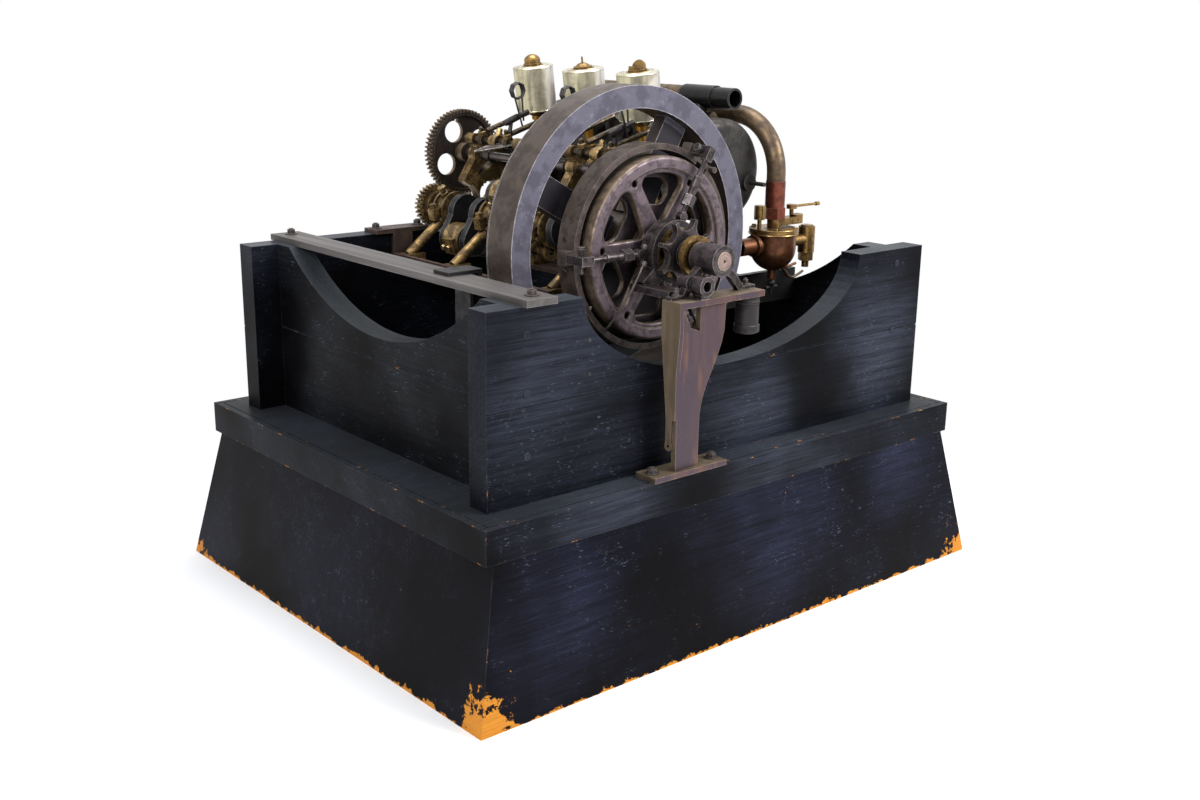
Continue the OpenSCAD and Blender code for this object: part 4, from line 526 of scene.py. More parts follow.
class Look(Enum):
    """The finishes of the engine and its stand."""

    # Old oil paint brushed on oak: black under a bluish painted sheen and painted glare spots, flecked, and
    # lighter where it faces up, with dust and painted sheen
    BOARD_X = PaintedBoard("black_paint_long_boards", dust_and_sheen_share=0.38,
                           glare_spots=((0.07, -0.376, 0.335, 0.2), (-0.42, -0.376, 0.58, 0.24),
                                        (0.38, -0.376, 0.42, 0.2)))
    # The same paint on the cross boards, black under a greyer painted sheen
    BOARD_Y = PaintedBoard("black_paint_cross_boards", grain=Grain.ALONG_Y, painted_sheen="#2c2e33")
    # The same paint on the slab, with painted glare spots, chipped to the wood along its edges
    SLAB = PaintedBoard("black_paint_slab", chips=0.9, sheen_share=0.7, dust_and_sheen_share=0.2,
                        glare_spots=((0.1, -0.44, 0.3, 0.26), (-0.3, -0.46, 0.27, 0.16)))
    # The same paint on the plinth: black under a blue painted sheen and painted glare spots, and rubbed to
    # orange oak at its corners and foot
    PLINTH = PaintedBoard("black_paint_plinth", painted_sheen="#191b2a", chips=0.5, dust_and_sheen_share=0.0, bloom_and_glare="#34374f",
                          glare_spots=((0.02, -0.43, 0.22, 0.26), (-0.44, -0.44, 0.13, 0.17),
                                       (0.4, -0.43, 0.22, 0.16)),
                          worn_spots=((-0.589, -0.469, 0.0, 0.11), (0.589, -0.469, 0.0, 0.1),
                                      (-0.589, 0.469, 0.0, 0.07), (0.589, 0.469, 0.0, 0.08)))
    # End grain of the pegs that hold the boards, under the same paint but paler, with a greyer painted sheen
    PEG = PaintedBoard("black_paint_pegs", paint="#1e2128", painted_sheen="#3b404b", grain=Grain.NONE, grain_mm=1.6)
    # Turned steel with a lilac bloom of age on its face, oil-brown where the rim was left rough, and a
    # painted shade over its spokes and hub
    FLYWHEEL = Metal("turned_steel_flywheel", "#64616f", "#514e5b", "#7c798a", "#2b272b", "#dcd8dc", 0.5,
                     0.36, 0.5, side="#4f433c", side_patina="#3a302b", core_shade="#2b272e", core_mm=212,
                     blotch_mm=34, bloom_share=0.5, pit_mm=1.3, pit_depth_mm=0.06, edge_mm=2.2,
                     edge_share=1.0, hollow_shade_share=0.6)
    # Oily cast iron, purple-grey on its spokes, with a painted shade nearly black behind them, and tan where
    # its rim was turned
    DRUM = Metal("cast_drum_iron", "#695b61", "#4a3e43", "#897a81", "#120e0f", "#c9bcbc", 0.45, 0.32, 0.52,
                 side="#7c6b59", side_patina="#584a40", core_shade="#171214", core_mm=160, deep_mm=-265,
                 edge_mm=1.8, blotch_mm=14)
    # Rolled steel band gone brown with oil, with a dull shine
    BAND = Metal("brown_band_steel", "#574c48", "#3b322f", "#74675f", "#171312", "#a89c98", 0.5, 0.36, 0.52,
                 side="#5f544d", side_patina="#443b37", blotch_mm=18)
    # Machined steel gone dark with oil, on the shifter and the outboard bearing
    OILED_STEEL = Metal("oiled_machined_steel", "#50484a", "#2f2829", "#736a66", "#0d0b0b", "#cfc6c0", 0.65,
                        0.26, 0.44, blotch_mm=13, edge_mm=1.5, edge_share=0.9)
    # Wrought iron gone brown and purple, with rust running down it
    RUST = Metal("brown_wrought_iron", "#684a40", "#453740", "#94603d", "#1d1514", "#b59c80", 0.4, 0.34,
                 0.56, side="#8f806a", side_patina="#685a49", grain=Grain.DOWN, streaked=True, blotch_mm=40,
                 bloom_share=0.45, patina_share=0.7, edge_share=1.0)
    # Rolled rail iron under an even skin of old rust, nearly matt
    RAIL = Metal("rusty_rail_iron", "#4b3b36", "#372c29", "#6b4331", "#191211", "#94796b", 0.4, 0.42, 0.65)
    # Forged bolt heads, grey-brown and dull, with small blotches
    BOLT = Metal("dulled_bolt_steel", "#5d5653", "#443e3c", "#756b65", "#171412", "#a8a09a", 0.55, 0.34,
                 0.54, blotch_mm=6)
    # Blackened iron that shows light only along its edges
    DARK_IRON = Metal("blackened_iron", "#302d2e", "#221f20", "#46403d", "#0b0a0a", "#77716e", 0.5, 0.36,
                      0.6)
    # Sand-cast iron: grey-black and grainy, with soft highlights
    GREY_IRON = Metal("grey_casting", "#383532", "#282524", "#4f4b47", "#0d0c0c", "#84807b", 0.4, 0.42, 0.66,
                      pit_depth_mm=0.3, pit_mm=3.0)
    # Flat rolled iron under dust: pale grey, with its rolling marks along it
    BAR_IRON = Metal("dusty_flat_iron", "#5f5c5b", "#524e4c", "#6f6c6a", "#2a2625", "#aaa49e", 0.4, 0.42,
                     0.62, grain=Grain.ALONG_Y, streaked=True, blotch_mm=14)
    # Cut gear iron: a black web, and teeth that their oil has turned brown
    GEAR = Metal("dark_gear_iron", "#3a322f", "#2a2423", "#4e423b", "#0f0d0c", "#a08a6e", 0.5, 0.4, 0.6,
                 side="#7a6650", side_patina="#54463a", edge_mm=1.6)
    # Forged crank iron, black with wide bright edges
    CRANK = Metal("worn_crank_iron", "#2b2a2c", "#1d1c1e", "#464341", "#0a0909", "#9a9896", 0.5, 0.34, 0.55,
                  edge_mm=3.0, edge_share=1.0)
    # Cast bronze, golden where it is handled, green and brown in patches, with painted shade in its hollows
    BRONZE = Metal("cast_bronze", "#ad8d5a", "#614e32", "#5f6850", "#120e09", "#d8bd88", 0.65, 0.26, 0.52,
                   blotch_mm=15, patina_share=0.8, bloom_share=0.4, hollow_shade_share=1.0, pit_depth_mm=0.25)
    # The valve gear's bronze, nearly black with oil between its rubbed edges, and darker in its hollows with
    # painted shade
    OILED_BRONZE = Metal("oiled_valve_bronze", "#5c4b32", "#332a1e", "#47503c", "#0f0c08", "#c0a678", 0.6,
                         0.26, 0.5, blotch_mm=11, patina_share=0.9, bloom_share=0.4, hollow_shade_share=1.0)
    # Turned brass gone brown-gold, with a soft shine and pale edges
    BRASS = Metal("aged_brass", "#9a7a48", "#6b5333", "#857350", "#22190f", "#dcc08a", 0.85, 0.24, 0.42,
                  blotch_mm=12)
    # Drawn copper pipe browned by heat and oil
    PIPE = Metal("browned_copper_pipe", "#67543f", "#4a3d31", "#7c6549", "#1c1511", "#9f8874", 0.6, 0.36,
                 0.54)
    # Spun copper of the float bowl, red-brown and smooth
    BOWL = Metal("browned_copper_bowl", "#744b33", "#553526", "#8a6040", "#20130d", "#b58a63", 0.8, 0.27,
                 0.42)
    # Bare copper of the union, the reddest place on the engine
    COPPER = Metal("red_copper", "#84493a", "#64382e", "#9a6450", "#2b1510", "#c08468", 0.85, 0.27, 0.42,
                   blotch_mm=14)
    # Steel pipe black with oil, with a narrow wet highlight
    OUTLET = Metal("black_oiled_pipe", "#1c1b1b", "#121213", "#33312f", "#080808", "#8a8681", 0.55, 0.28,
                   0.44)
    # Bare turned steel where fingers have kept it clean
    HANDLED = Metal("handled_steel", "#9c857b", "#83706a", "#ad988d", "#2c2320", "#d5c6bd", 0.6, 0.3, 0.45)
    # Ground shaft steel, grey-brown with the clearest shine of the steels
    SHAFT = Metal("worn_shaft_steel", "#6a6260", "#4d4442", "#80766f", "#181312", "#aaa39c", 0.75, 0.26,
                  0.42)
    # Tinned sheet: silvery, with a painted yellow reflection on its left side, grey tarnish in clouds, and
    # grey streaks round the roll painted as reflected bands
    TIN = TinnedCan("tinned_sheet_can")

    def material(self) -> bpy.types.Material:
        """Gives the finish's material, made at its first use."""
        return bpy.data.materials.get(self.value.name) or self.value.build()


NODES_OF_LOOK: dict[Look, tuple[str, ...]] = {
    Look.PLINTH: ("plinth_boards",),
    Look.SLAB: ("stand_slab",),
    Look.BOARD_X: ("wall_front", "wall_back"),
    Look.BOARD_Y: ("wall_left", "wall_right"),
    Look.BAR_IRON: ("side_bar",),
    Look.RAIL: ("hanger_rails",),
    Look.BOLT: ("frame_bolts",),
    Look.DARK_IRON: ("bar_clamp", "cross_bar", "valve_springs", "drain_cock"),
    Look.BRONZE: ("bearing_frame", "bearing_caps", "connecting_rod", "crank_pinion"),
    Look.GREY_IRON: ("cylinder_bed", "cylinder", "igniters"),
    Look.CRANK: ("crankshaft",),
    Look.FLYWHEEL: ("flywheel",),
    Look.SHAFT: ("camshaft", "piston"),
    Look.GEAR: ("cam_gear",),
    Look.OILED_BRONZE: ("valve_gear",),
    Look.TIN: ("oiler",),
    Look.BRASS: ("oiler_cap", "shaft_collars", "carburettor_lid", "fuel_elbow", "throttle_lever",
                 "needle_knob"),
    Look.PIPE: ("exhaust_manifold", "intake_manifold"),
    Look.OUTLET: ("exhaust_outlet",),
    Look.COPPER: ("intake_union",),
    Look.BOWL: ("float_bowl",),
    Look.DRUM: ("clutch_drum",),
    Look.BAND: ("clutch_band",),
    Look.OILED_STEEL: ("band_rods", "control_ring", "shift_spider", "outboard_bearing", "control_tube"),
    Look.RUST: ("bearing_bracket",),
}


def dress_cad_nodes() -> None:
    """Gives every node of the frame its finish. Numbered nodes are looked up without their number."""
    look_of = {name: look for look, names in NODES_OF_LOOK.items() for name in names}
    for name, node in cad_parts.items():
        look = look_of[name.rstrip("_0123456789")]
        for slot in node.material_slots:
            slot.material = look.material()
        LOG.info("%s: %s", name, look.value.name)


def circle(x: float, y: float, radius: float, points: int = 32) -> list[Vector]:
    """Lays points round a circle.

    Args:
        x: The centre across.
        y: The centre upwards.
        radius: The circle's radius.
        points: How many points it has.

    Returns:
        The points in order.
    """
    steps = [math.tau * k / points for k in range(points)]
    return [Vector((x + radius * math.cos(a), y + radius * math.sin(a))) for a in steps]


def wrapped(points: Sequence[Vector], turn: float) -> list[Vector]:
    """Stretches a line round some points and turns it about the origin.

    Args:
        points: The points inside.
        turn: The turn in degrees.

    Returns:
        The outline's corners in order.
    """
    c, s = math.cos(math.radians(turn)), math.sin(math.radians(turn))
    outline = [points[k] for k in geometry.convex_hull_2d(points)]
    return [Vector((p.x * c - p.y * s, p.x * s + p.y * c)) for p in outline]


class Shape:
    """A new piece in the making: turned, bent, sawn and cast parts in one mesh, in millimetres."""

    MERGE = 0.01
    SHARP_DEGREES = 38

    def __init__(self) -> None:
        """Starts with an empty mesh."""
        self.mesh = bmesh.new()

    def skin(self, rings: list[list[Vector]], closed: bool = False) -> None:
        """Covers a row of rings with faces.

        Args:
            rings: The rings, each with the same number of points.
            closed: Whether the last ring joins the first.
        """
        made = [[self.mesh.verts.new(p) for p in ring] for ring in rings]
        pairs = list(zip(made, made[1:])) + ([(made[-1], made[0])] if closed else [])
        for low, high in pairs:
            for k in range(len(low)):
                n = (k + 1) % len(low)
                self.mesh.faces.new((low[k], low[n], high[n], high[k]))
        if not closed:
            self.mesh.faces.new(made[0])
            self.mesh.faces.new(made[-1])

    def turn(self, profile: Profile, foot: Point, axis: Point = (0.0, 0.0, 1.0), sides: int = 32,
             ring: bool = False) -> None:
        """Turns a profile about an axis, as on a lathe.

        Args:
            profile: Radius and height of each point.
            foot: The axis's foot.
            axis: The axis's direction.
            sides: Number of facets round the axis.
            ring: Whether the profile is a closed loop off the axis.
        """
        to_axis = Vector(axis).normalized().to_track_quat("Z", "Y").to_matrix()
        steps = [math.tau * k / sides for k in range(sides)]
        self.skin([[to_axis @ Vector((r * math.cos(a), r * math.sin(a), h)) + Vector(foot) for a in steps]
                   for r, h in profile], ring)

    def bead(self, radius: float, thick: float, foot: Point, axis: Point) -> None:
        """Rolls a round bead about an axis.

        Args:
            radius: From the axis to the bead's middle.
            thick: The bead's own radius.
            foot: The bead's middle.
            axis: The axis's direction.
        """
        loop = [(p.x, p.y) for p in circle(radius, 0.0, thick, points=8)]
        self.turn(loop, foot, axis, sides=48, ring=True)

    def bend(self, points: Sequence[Point], radii: float | Sequence[float], sides: int = 12,
             steps: int = 6) -> None:
        """Bends a round bar along a smooth path.

        Args:
            points: The points it passes through.
            radii: Its radius, or one radius for each point.
            sides: Number of facets round it.
            steps: How many pieces lie between two points.
        """
        way = [Vector(p) for p in points]
        size = [radii] * len(way) if isinstance(radii, (int, float)) else list(radii)
        path: list[tuple[Vector, float]] = []
        for k in range(len(way) - 1):
            # The curve runs from b to c, led by the points a and d on either side
            a, b = way[max(k - 1, 0)], way[k]
            c, d = way[k + 1], way[min(k + 2, len(way) - 1)]
            for j in range(steps):
                t = j / steps
                mid = 0.5 * ((2 * b) + (c - a) * t + (2 * a - 5 * b + 4 * c - d) * t**2
                             + (3 * b - a - 3 * c + d) * t**3)
                path.append((mid, size[k] + (size[k + 1] - size[k]) * t))
        path.append((way[-1], size[-1]))
        across = (path[1][0] - path[0][0]).normalized().orthogonal().normalized()
        rings = []
        for k, (mid, r) in enumerate(path):
            ahead = (path[min(k + 1, len(path) - 1)][0] - path[max(k - 1, 0)][0]).normalized()
            across = (across - ahead * across.dot(ahead)).normalized()
            other = ahead.cross(across)
            rings.append([mid + across * p.x + other * p.y for p in circle(0.0, 0.0, r, sides)])
        self.skin(rings)

    def saw(self, outline: Sequence[Point], depth: Point) -> None:
        """Saws a plate to an outline.

        Args:
            outline: The corners of one face.
            depth: The way from that face to the other.
        """
        face = [Vector(p) for p in outline]
        self.skin([face, [p + Vector(depth) for p in face]])

    def cast(self, outlines: Sequence[Sequence[Vector]], low: float, high: float, soft: float) -> None:
        """Casts a plate pierced by holes, with rounded edges, square to the lathe's axis.

        Args:
            outlines: The plate's outline, then each hole's.
            low: The height of its back.
            high: The height of its front.
            soft: The radius of its edges.
        """
        curve = bpy.data.curves.new("pierced_plate", "CURVE")
        curve.dimensions = "2D"
        curve.fill_mode = "BOTH"
        curve.extrude = (high - low) / 2 - soft
        curve.bevel_depth = soft
        curve.bevel_resolution = 2
        curve.offset = -soft
        for outline in outlines:
            line = curve.splines.new("POLY")
            line.points.add(len(outline) - 1)
            for point, corner in zip(line.points, outline):
                point.co = (corner.x, corner.y, 0.0, 1.0)
            line.use_cyclic_u = True
        pattern = bpy.data.objects.new("pierced_plate", curve)
        bpy.context.scene.collection.objects.link(pattern)
        graph = bpy.context.evaluated_depsgraph_get()
        plate = bpy.data.meshes.new_from_object(pattern.evaluated_get(graph), depsgraph=graph)
        plate.transform(Matrix.Translation((0.0, 0.0, (low + high) / 2)))
        self.mesh.from_mesh(plate)
        bpy.data.objects.remove(pattern)
        bpy.data.curves.remove(curve)
        bpy.data.meshes.remove(plate)

    def place(self, foot: Point, turned: float) -> None:
        """Sets what was made upright on the crank's axis, facing the clutch side.

        Args:
            foot: Where the lathe's origin goes.
            turned: The turn about the axis, in degrees.
        """
        upright = Matrix.Rotation(math.radians(90), 4, "X")
        swung = Matrix.Rotation(math.radians(turned), 4, "Y")
        self.mesh.transform(Matrix.Translation(foot) @ swung @ upright)

    def finish(self, name: str, look: Look, body: str = "stand") -> bpy.types.Object:
        """Makes the object, at its place in the frame.

        Args:
            name: The piece's name.
            look: Its finish.
            body: The body that it rides on.

        Returns:
            The new object.
        """
        bmesh.ops.remove_doubles(self.mesh, verts=self.mesh.verts, dist=self.MERGE)
        bmesh.ops.recalc_face_normals(self.mesh, faces=self.mesh.faces)
        bmesh.ops.scale(self.mesh, vec=(MM, MM, MM), verts=self.mesh.verts)
        data = bpy.data.meshes.new(name)
        self.mesh.to_mesh(data)
        self.mesh.free()
        data.materials.append(look.material())
        data.polygons.foreach_set("use_smooth", [True] * len(data.polygons))
        data.set_sharp_from_angle(angle=math.radians(self.SHARP_DEGREES))
        made = bpy.data.objects.new(name, data)
        bpy.context.scene.collection.objects.link(made)
        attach(made, body)
        LOG.info("%s on %s", name, body)
        return made


@dataclass(frozen=True)
class Head:
    """The head of a nut, screw or peg: a prism, and a crown on it whose top is a share of its radius."""

    radius: float
    height: float
    sides: int
    crown_share: float
    crown_height: float


@dataclass
class Fasteners:
    """A row of heads, all alike, set on their places by Geometry Nodes."""

    name: str
    look: Look
    head: Head
    places: list[tuple[Point, Point]]

    @staticmethod
    def tree() -> Tree:
        """Builds the tree that all rows share, at its first use.

        Returns:
            The node tree.
        """
        made = bpy.data.node_groups.get("fasteners")
        if made:
            return made
        made = bpy.data.node_groups.new("fasteners", "GeometryNodeTree")
        for name, kind in (("Places", "Geometry"), ("Radius", "Float"), ("Height", "Float"),
                           ("Sides", "Int"), ("Crown Radius", "Float"), ("Crown Height", "Float"),
                           ("Finish", "Material")):
            made.interface.new_socket(name=name, in_out="INPUT", socket_type="NodeSocket" + kind)
        made.interface.new_socket(name="Fasteners", in_out="OUTPUT", socket_type="NodeSocketGeometry")
        given = add_node(made, "NodeGroupInput").outputs
        half = add_node(made, "ShaderNodeMath", {0: given["Height"], 1: 0.5},
                        operation="MULTIPLY").outputs[0]
        prism = add_node(made, "GeometryNodeMeshCylinder", {
            "Vertices": given["Sides"], "Radius": given["Radius"], "Depth": given["Height"]})
        crown = add_node(made, "GeometryNodeMeshCone", {
            "Vertices": given["Sides"], "Radius Top": given["Crown Radius"],
            "Radius Bottom": given["Radius"], "Depth": given["Crown Height"]})
        whole = add_node(made, "GeometryNodeJoinGeometry")
        for part, lift in ((crown, given["Height"]), (prism, half)):
            raised = add_node(made, "ShaderNodeCombineXYZ", {"Z": lift}).outputs["Vector"]
            lifted = add_node(made, "GeometryNodeTransform", {"Geometry": part.outputs["Mesh"],
                                                              "Translation": raised})
            made.links.new(lifted.outputs["Geometry"], whole.inputs["Geometry"])
        facing = add_node(made, "GeometryNodeInputNamedAttribute", {"Name": "facing"},
                          data_type="FLOAT_VECTOR").outputs["Attribute"]
        turned = add_node(made, "FunctionNodeAlignRotationToVector", {"Vector": facing}, axis="Z")
        row = add_node(made, "GeometryNodeInstanceOnPoints", {
            "Points": given["Places"], "Instance": whole.outputs["Geometry"],
            "Rotation": turned.outputs["Rotation"]})
        real = add_node(made, "GeometryNodeRealizeInstances", {"Geometry": row.outputs["Instances"]})
        dressed = add_node(made, "GeometryNodeSetMaterial", {
            "Geometry": real.outputs["Geometry"], "Material": given["Finish"]})
        add_node(made, "NodeGroupOutput", {"Fasteners": dressed.outputs["Geometry"]})
        return made

    def build(self) -> None:
        """Sets the heads on their places, as one piece of the stand's body."""
        data = bpy.data.meshes.new(self.name)
        data.from_pydata([tuple(Vector(p) * MM) for p, _ in self.places], [], [])
        facing = data.attributes.new("facing", "FLOAT_VECTOR", "POINT")
        for k, (_, out) in enumerate(self.places):
            facing.data[k].vector = Vector(out).normalized()
        made = bpy.data.objects.new(self.name, data)
        bpy.context.scene.collection.objects.link(made)
        row = made.modifiers.new("fasteners", "NODES")
        row.node_group = self.tree()
        head = self.head
        values = {"Radius": head.radius * MM, "Height": head.height * MM, "Sides": head.sides,
                  "Crown Radius": head.radius * head.crown_share * MM,
                  "Crown Height": head.crown_height * MM, "Finish": self.look.material()}
        for item in row.node_group.interface.items_tree:
            if item.in_out == "INPUT" and item.name in values:
                row[item.identifier] = values[item.name]
        graph = bpy.context.evaluated_depsgraph_get()
        result = bpy.data.meshes.new_from_object(made.evaluated_get(graph), depsgraph=graph)
        made.modifiers.clear()
        made.data = result
        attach(made, "stand")
        LOG.info("%s: %d alike", self.name, len(self.places))


@dataclass
class Stand:
    """The pegs and the flat wall screws of the wooden stand."""

    # The backs of the pegs and screws stand half a millimetre clear of the long walls' faces
    wall_y: float = 376.0
    peg_x: float = 433.0
    near_peg_z: tuple[float, ...] = (562.0, 472.0, 376.0)
    far_peg_z: tuple[float, ...] = (577.0, 451.0, 318.0)
    screw_x: float = -312.0
    screw_z: tuple[float, ...] = (587.0, 537.0, 484.0)
    peg: Head = Head(6.5, 0.4, 20, 0.9, 0.4)
    screw: Head = Head(2.6, 0.2, 12, 0.6, 0.3)

    def build(self) -> None:
        """Lays the pegs and screws over the long walls' faces."""
        pegs = [((side * x, side * self.wall_y, z), (0, side, 0)) for side in (-1, 1)
                for x, row in ((self.peg_x, self.near_peg_z), (-self.peg_x, self.far_peg_z)) for z in row]
        Fasteners("board_pegs", Look.PEG, self.peg, pegs).build()
        screws = [((self.screw_x, -self.wall_y, z), (0, -1, 0)) for z in self.screw_z]
        Fasteners("wall_screws", Look.DARK_IRON, self.screw, screws).build()


@dataclass
class Crankcase:
    """Oil cups on the main bearings."""

    lean: Point = (-0.5, 0.0, 0.87)
    foot_r: float = 31.0
    cup: Profile = ((0, 0), (8, 0), (8, 6), (5, 8), (5, 11), (8.5, 13), (8.5, 19), (6.5, 21), (0, 22))

    def build(self) -> None:
        """Sets a cup on each bearing."""
        cups = Shape()
        out = Vector(self.lean).normalized()
        for k in (1, 2, 3, 4):
            foot = on_shaft(middle(f"bearing_frame_{k}").y) + out * self.foot_r
            cups.turn(self.cup, foot, out, sides=20)
        cups.finish("bearing_oil_cups", Look.BRONZE)


@dataclass
class ValveGear:
    """Lock nuts, collars, the hand lever and the spring pegs along the camshaft."""

    shaft_x: float = -40.0
    shaft_z: float = 776.0
    apart: float = 40.0
    stud_out: Point = (-0.25, 0.0, 0.97)
    nut_at: tuple[float, float] = (-3.0, 9.0)
    stud_at: tuple[float, float] = (-5.0, 16.0)
    nut: Head = Head(8.5, 7, 6, 0.8, 1.5)
    stud: Head = Head(4.2, 8, 12, 0.5, 2)
    # Each collar's profile, its place from the rocker shaft, its axis and its facets
    collars: tuple[tuple[Profile, Point, Point, int], ...] = (
        (((0, 0), (13, 0), (14.5, 2), (14.5, 14), (11, 17), (11, 24), (0, 26)), (0, -12, 0), (0, 1, 0), 24),
        (((0, 0), (9, 0), (9, 8), (6, 10), (6, 17), (0, 18)), (3, -3, 8), (0.35, 0.1, 0.93), 8),
        (((0, 0), (7, 0), (7, 9), (0, 10)), (12, 15, 2), (0.8, 0.2, 0.5), 6))
    lever: tuple[Point, ...] = ((-66, 262, 755), (-58, 236, 766), (-40, 190, 776), (-28, 152, 781),
                                (-40, 148, 778), (-54, 190, 768))
    lever_depth: Point = (0.8, 0.3, 2.2)
    peg_foot: Point = (-44.0, -33.0, 812.0)
    peg_tip: Point = (12.0, -33.0, 833.0)
    # How far along the peg each radius lies
    peg_radii: Profile = ((0.0, 4.5), (0.1, 6.4), (0.55, 6.4), (0.6, 4.6), (1.0, 4.2))
    arm_foot: Point = (-37.0, -38.0, 790.0)
    arm_radii: tuple[float, float] = (4.5, 3.4)
    arm_meets: float = 0.3

    def rockers(self, at: tuple[float, float]) -> list[tuple[Point, Point]]:
        """Gives the place and direction of one fastener on each rocker.

        Args:
            at: The place from the rocker shaft, along X and Z.

        Returns:
            The six places and directions.
        """
        return [((self.shaft_x + at[0], y + side * self.apart, self.shaft_z + at[1]), self.stud_out)
                for y in ROWS_Y for side in (-1, 1)]

    def build(self) -> None:
        """Dresses each rocker, lays the lever on and sets the spring pegs."""
        Fasteners("rocker_nuts", Look.BRONZE, self.nut, self.rockers(self.nut_at)).build()
        Fasteners("rocker_studs", Look.OILED_BRONZE, self.stud, self.rockers(self.stud_at)).build()
        blocks, lever, pegs = Shape(), Shape(), Shape()
        for y in ROWS_Y:
            row = Vector((0.0, y, 0.0))
            for profile, place, axis, sides in self.collars:
                foot = row + Vector((self.shaft_x, 0.0, self.shaft_z)) + Vector(place)
                blocks.turn(profile, foot, axis, sides)
            foot, tip = row + Vector(self.peg_foot), row + Vector(self.peg_tip)
            pegs.bend([foot.lerp(tip, share) for share, _ in self.peg_radii],
                      [r for _, r in self.peg_radii], sides=16, steps=3)
            pegs.bend([row + Vector(self.arm_foot), foot.lerp(tip, self.arm_meets)], self.arm_radii, steps=2)
        lever.saw(self.lever, self.lever_depth)
        blocks.finish("rocker_collars", Look.BRONZE)
        lever.finish("timing_lever", Look.OILED_STEEL)
        pegs.finish("spring_pegs", Look.DARK_IRON)


@dataclass
class Oilers:
    """Seams, washers and union nuts of the three oil cans."""

    foot_x: float = 69.8
    foot_z: float = 765.0
    stem: float = 67.0
    can_h: float = 86.0
    can_r: float = 38.5
    seam_in: float = 3.0
    seam_sunk: float = 0.2
    seam_r: float = 0.9
    lid_in: float = 9.0
    lid_bead_r: float = 0.8
    washer: Profile = ((0, 0), (21, 0), (21, 0.6), (19.5, 1.2), (0, 1.2))
    socket: Profile = ((0, 0), (12.6, 0), (15.5, 2), (16.5, 8.7), (0, 8.7))
    socket_h: float = 9.0
    nut: Head = Head(14.5, 10, 6, 0.85, 2)
    nut_up: float = 1.5

    def build(self) -> None:
        """Rolls the seams and sets the nuts."""
        up = aim(90 + CAN_LEAN)
        nuts = []
        for k, y in enumerate(ROWS_Y, 1):
            foot = Vector((self.foot_x, y, self.foot_z))
            top = self.stem + self.can_h
            can, trim = Shape(), Shape()
            for height in (self.stem + self.seam_in, top - self.seam_in):
                can.bead(self.can_r - self.seam_sunk, self.seam_r, foot + up * height, up)
            can.bead(self.can_r - self.lid_in, self.lid_bead_r, foot + up * top, up)
            can.finish(f"can_seams_{k}", Look.TIN)
            trim.turn(self.washer, foot + up * top, up)
            trim.turn(self.socket, foot + up * (self.stem - self.socket_h), up)
            trim.finish(f"can_washers_{k}", Look.BRASS)
            nuts.append((foot + up * self.nut_up, up))
        Fasteners("stem_nuts", Look.BRASS, self.nut, nuts).build()


@dataclass
class Clutch:
    """Pins, screws and the thin stay of the band clutch."""

    # The angle of each rod, and which way the head of its pin points
    rods: tuple[tuple[float, int], ...] = ((180.0, -1), (60.0, 1), (-60.0, 1))
    pin_out: float = 176.0
    pin_y: float = -300.0
    pin: Profile = ((0, -22), (3.6, -22), (4.2, -21), (4.2, 18), (6.4, 18), (6.4, 22), (0, 23))
    band_r: float = 169.6
    band_y: float = -250.0
    screw_turn: float = 9.0
    screw: Head = Head(5.5, 0.9, 16, 0.75, 0.9)
    eyes: tuple[Point, ...] = ((-163.0, -328.0, 632.0), (-163.0, -328.0, 659.0))
    eye_pin: Head = Head(4.6, 5, 14, 0.6, 2)
    stay: tuple[Point, ...] = ((-163, -331, 632), (-178, -322, 592), (-191, -306, 556), (-199, -294, 532),
                               (-203, -284, 520))
    stay_r: float = 2.1

    def build(self) -> None:
        """Pins the rods to the band and hangs the stay."""
        pins, stay = Shape(), Shape()
        screws = []
        for angle, way in self.rods:
            foot = on_shaft(self.pin_y) + aim(angle) * self.pin_out
            pins.turn(self.pin, foot, aim(angle + 90) * way, sides=20)
            for out in (aim(angle - self.screw_turn), aim(angle + self.screw_turn)):
                screws.append((on_shaft(self.band_y) + out * self.band_r, out))
        pins.finish("band_pins", Look.OILED_STEEL)
        Fasteners("band_screws", Look.DARK_IRON, self.screw, screws).build()
        eye_pins = [(eye, (0, -1, 0)) for eye in self.eyes]
        Fasteners("ring_pins", Look.OILED_STEEL, self.eye_pin, eye_pins).build()
        stay.bend(self.stay, self.stay_r, sides=10, steps=4)
        stay.finish("band_stay", Look.SHAFT)


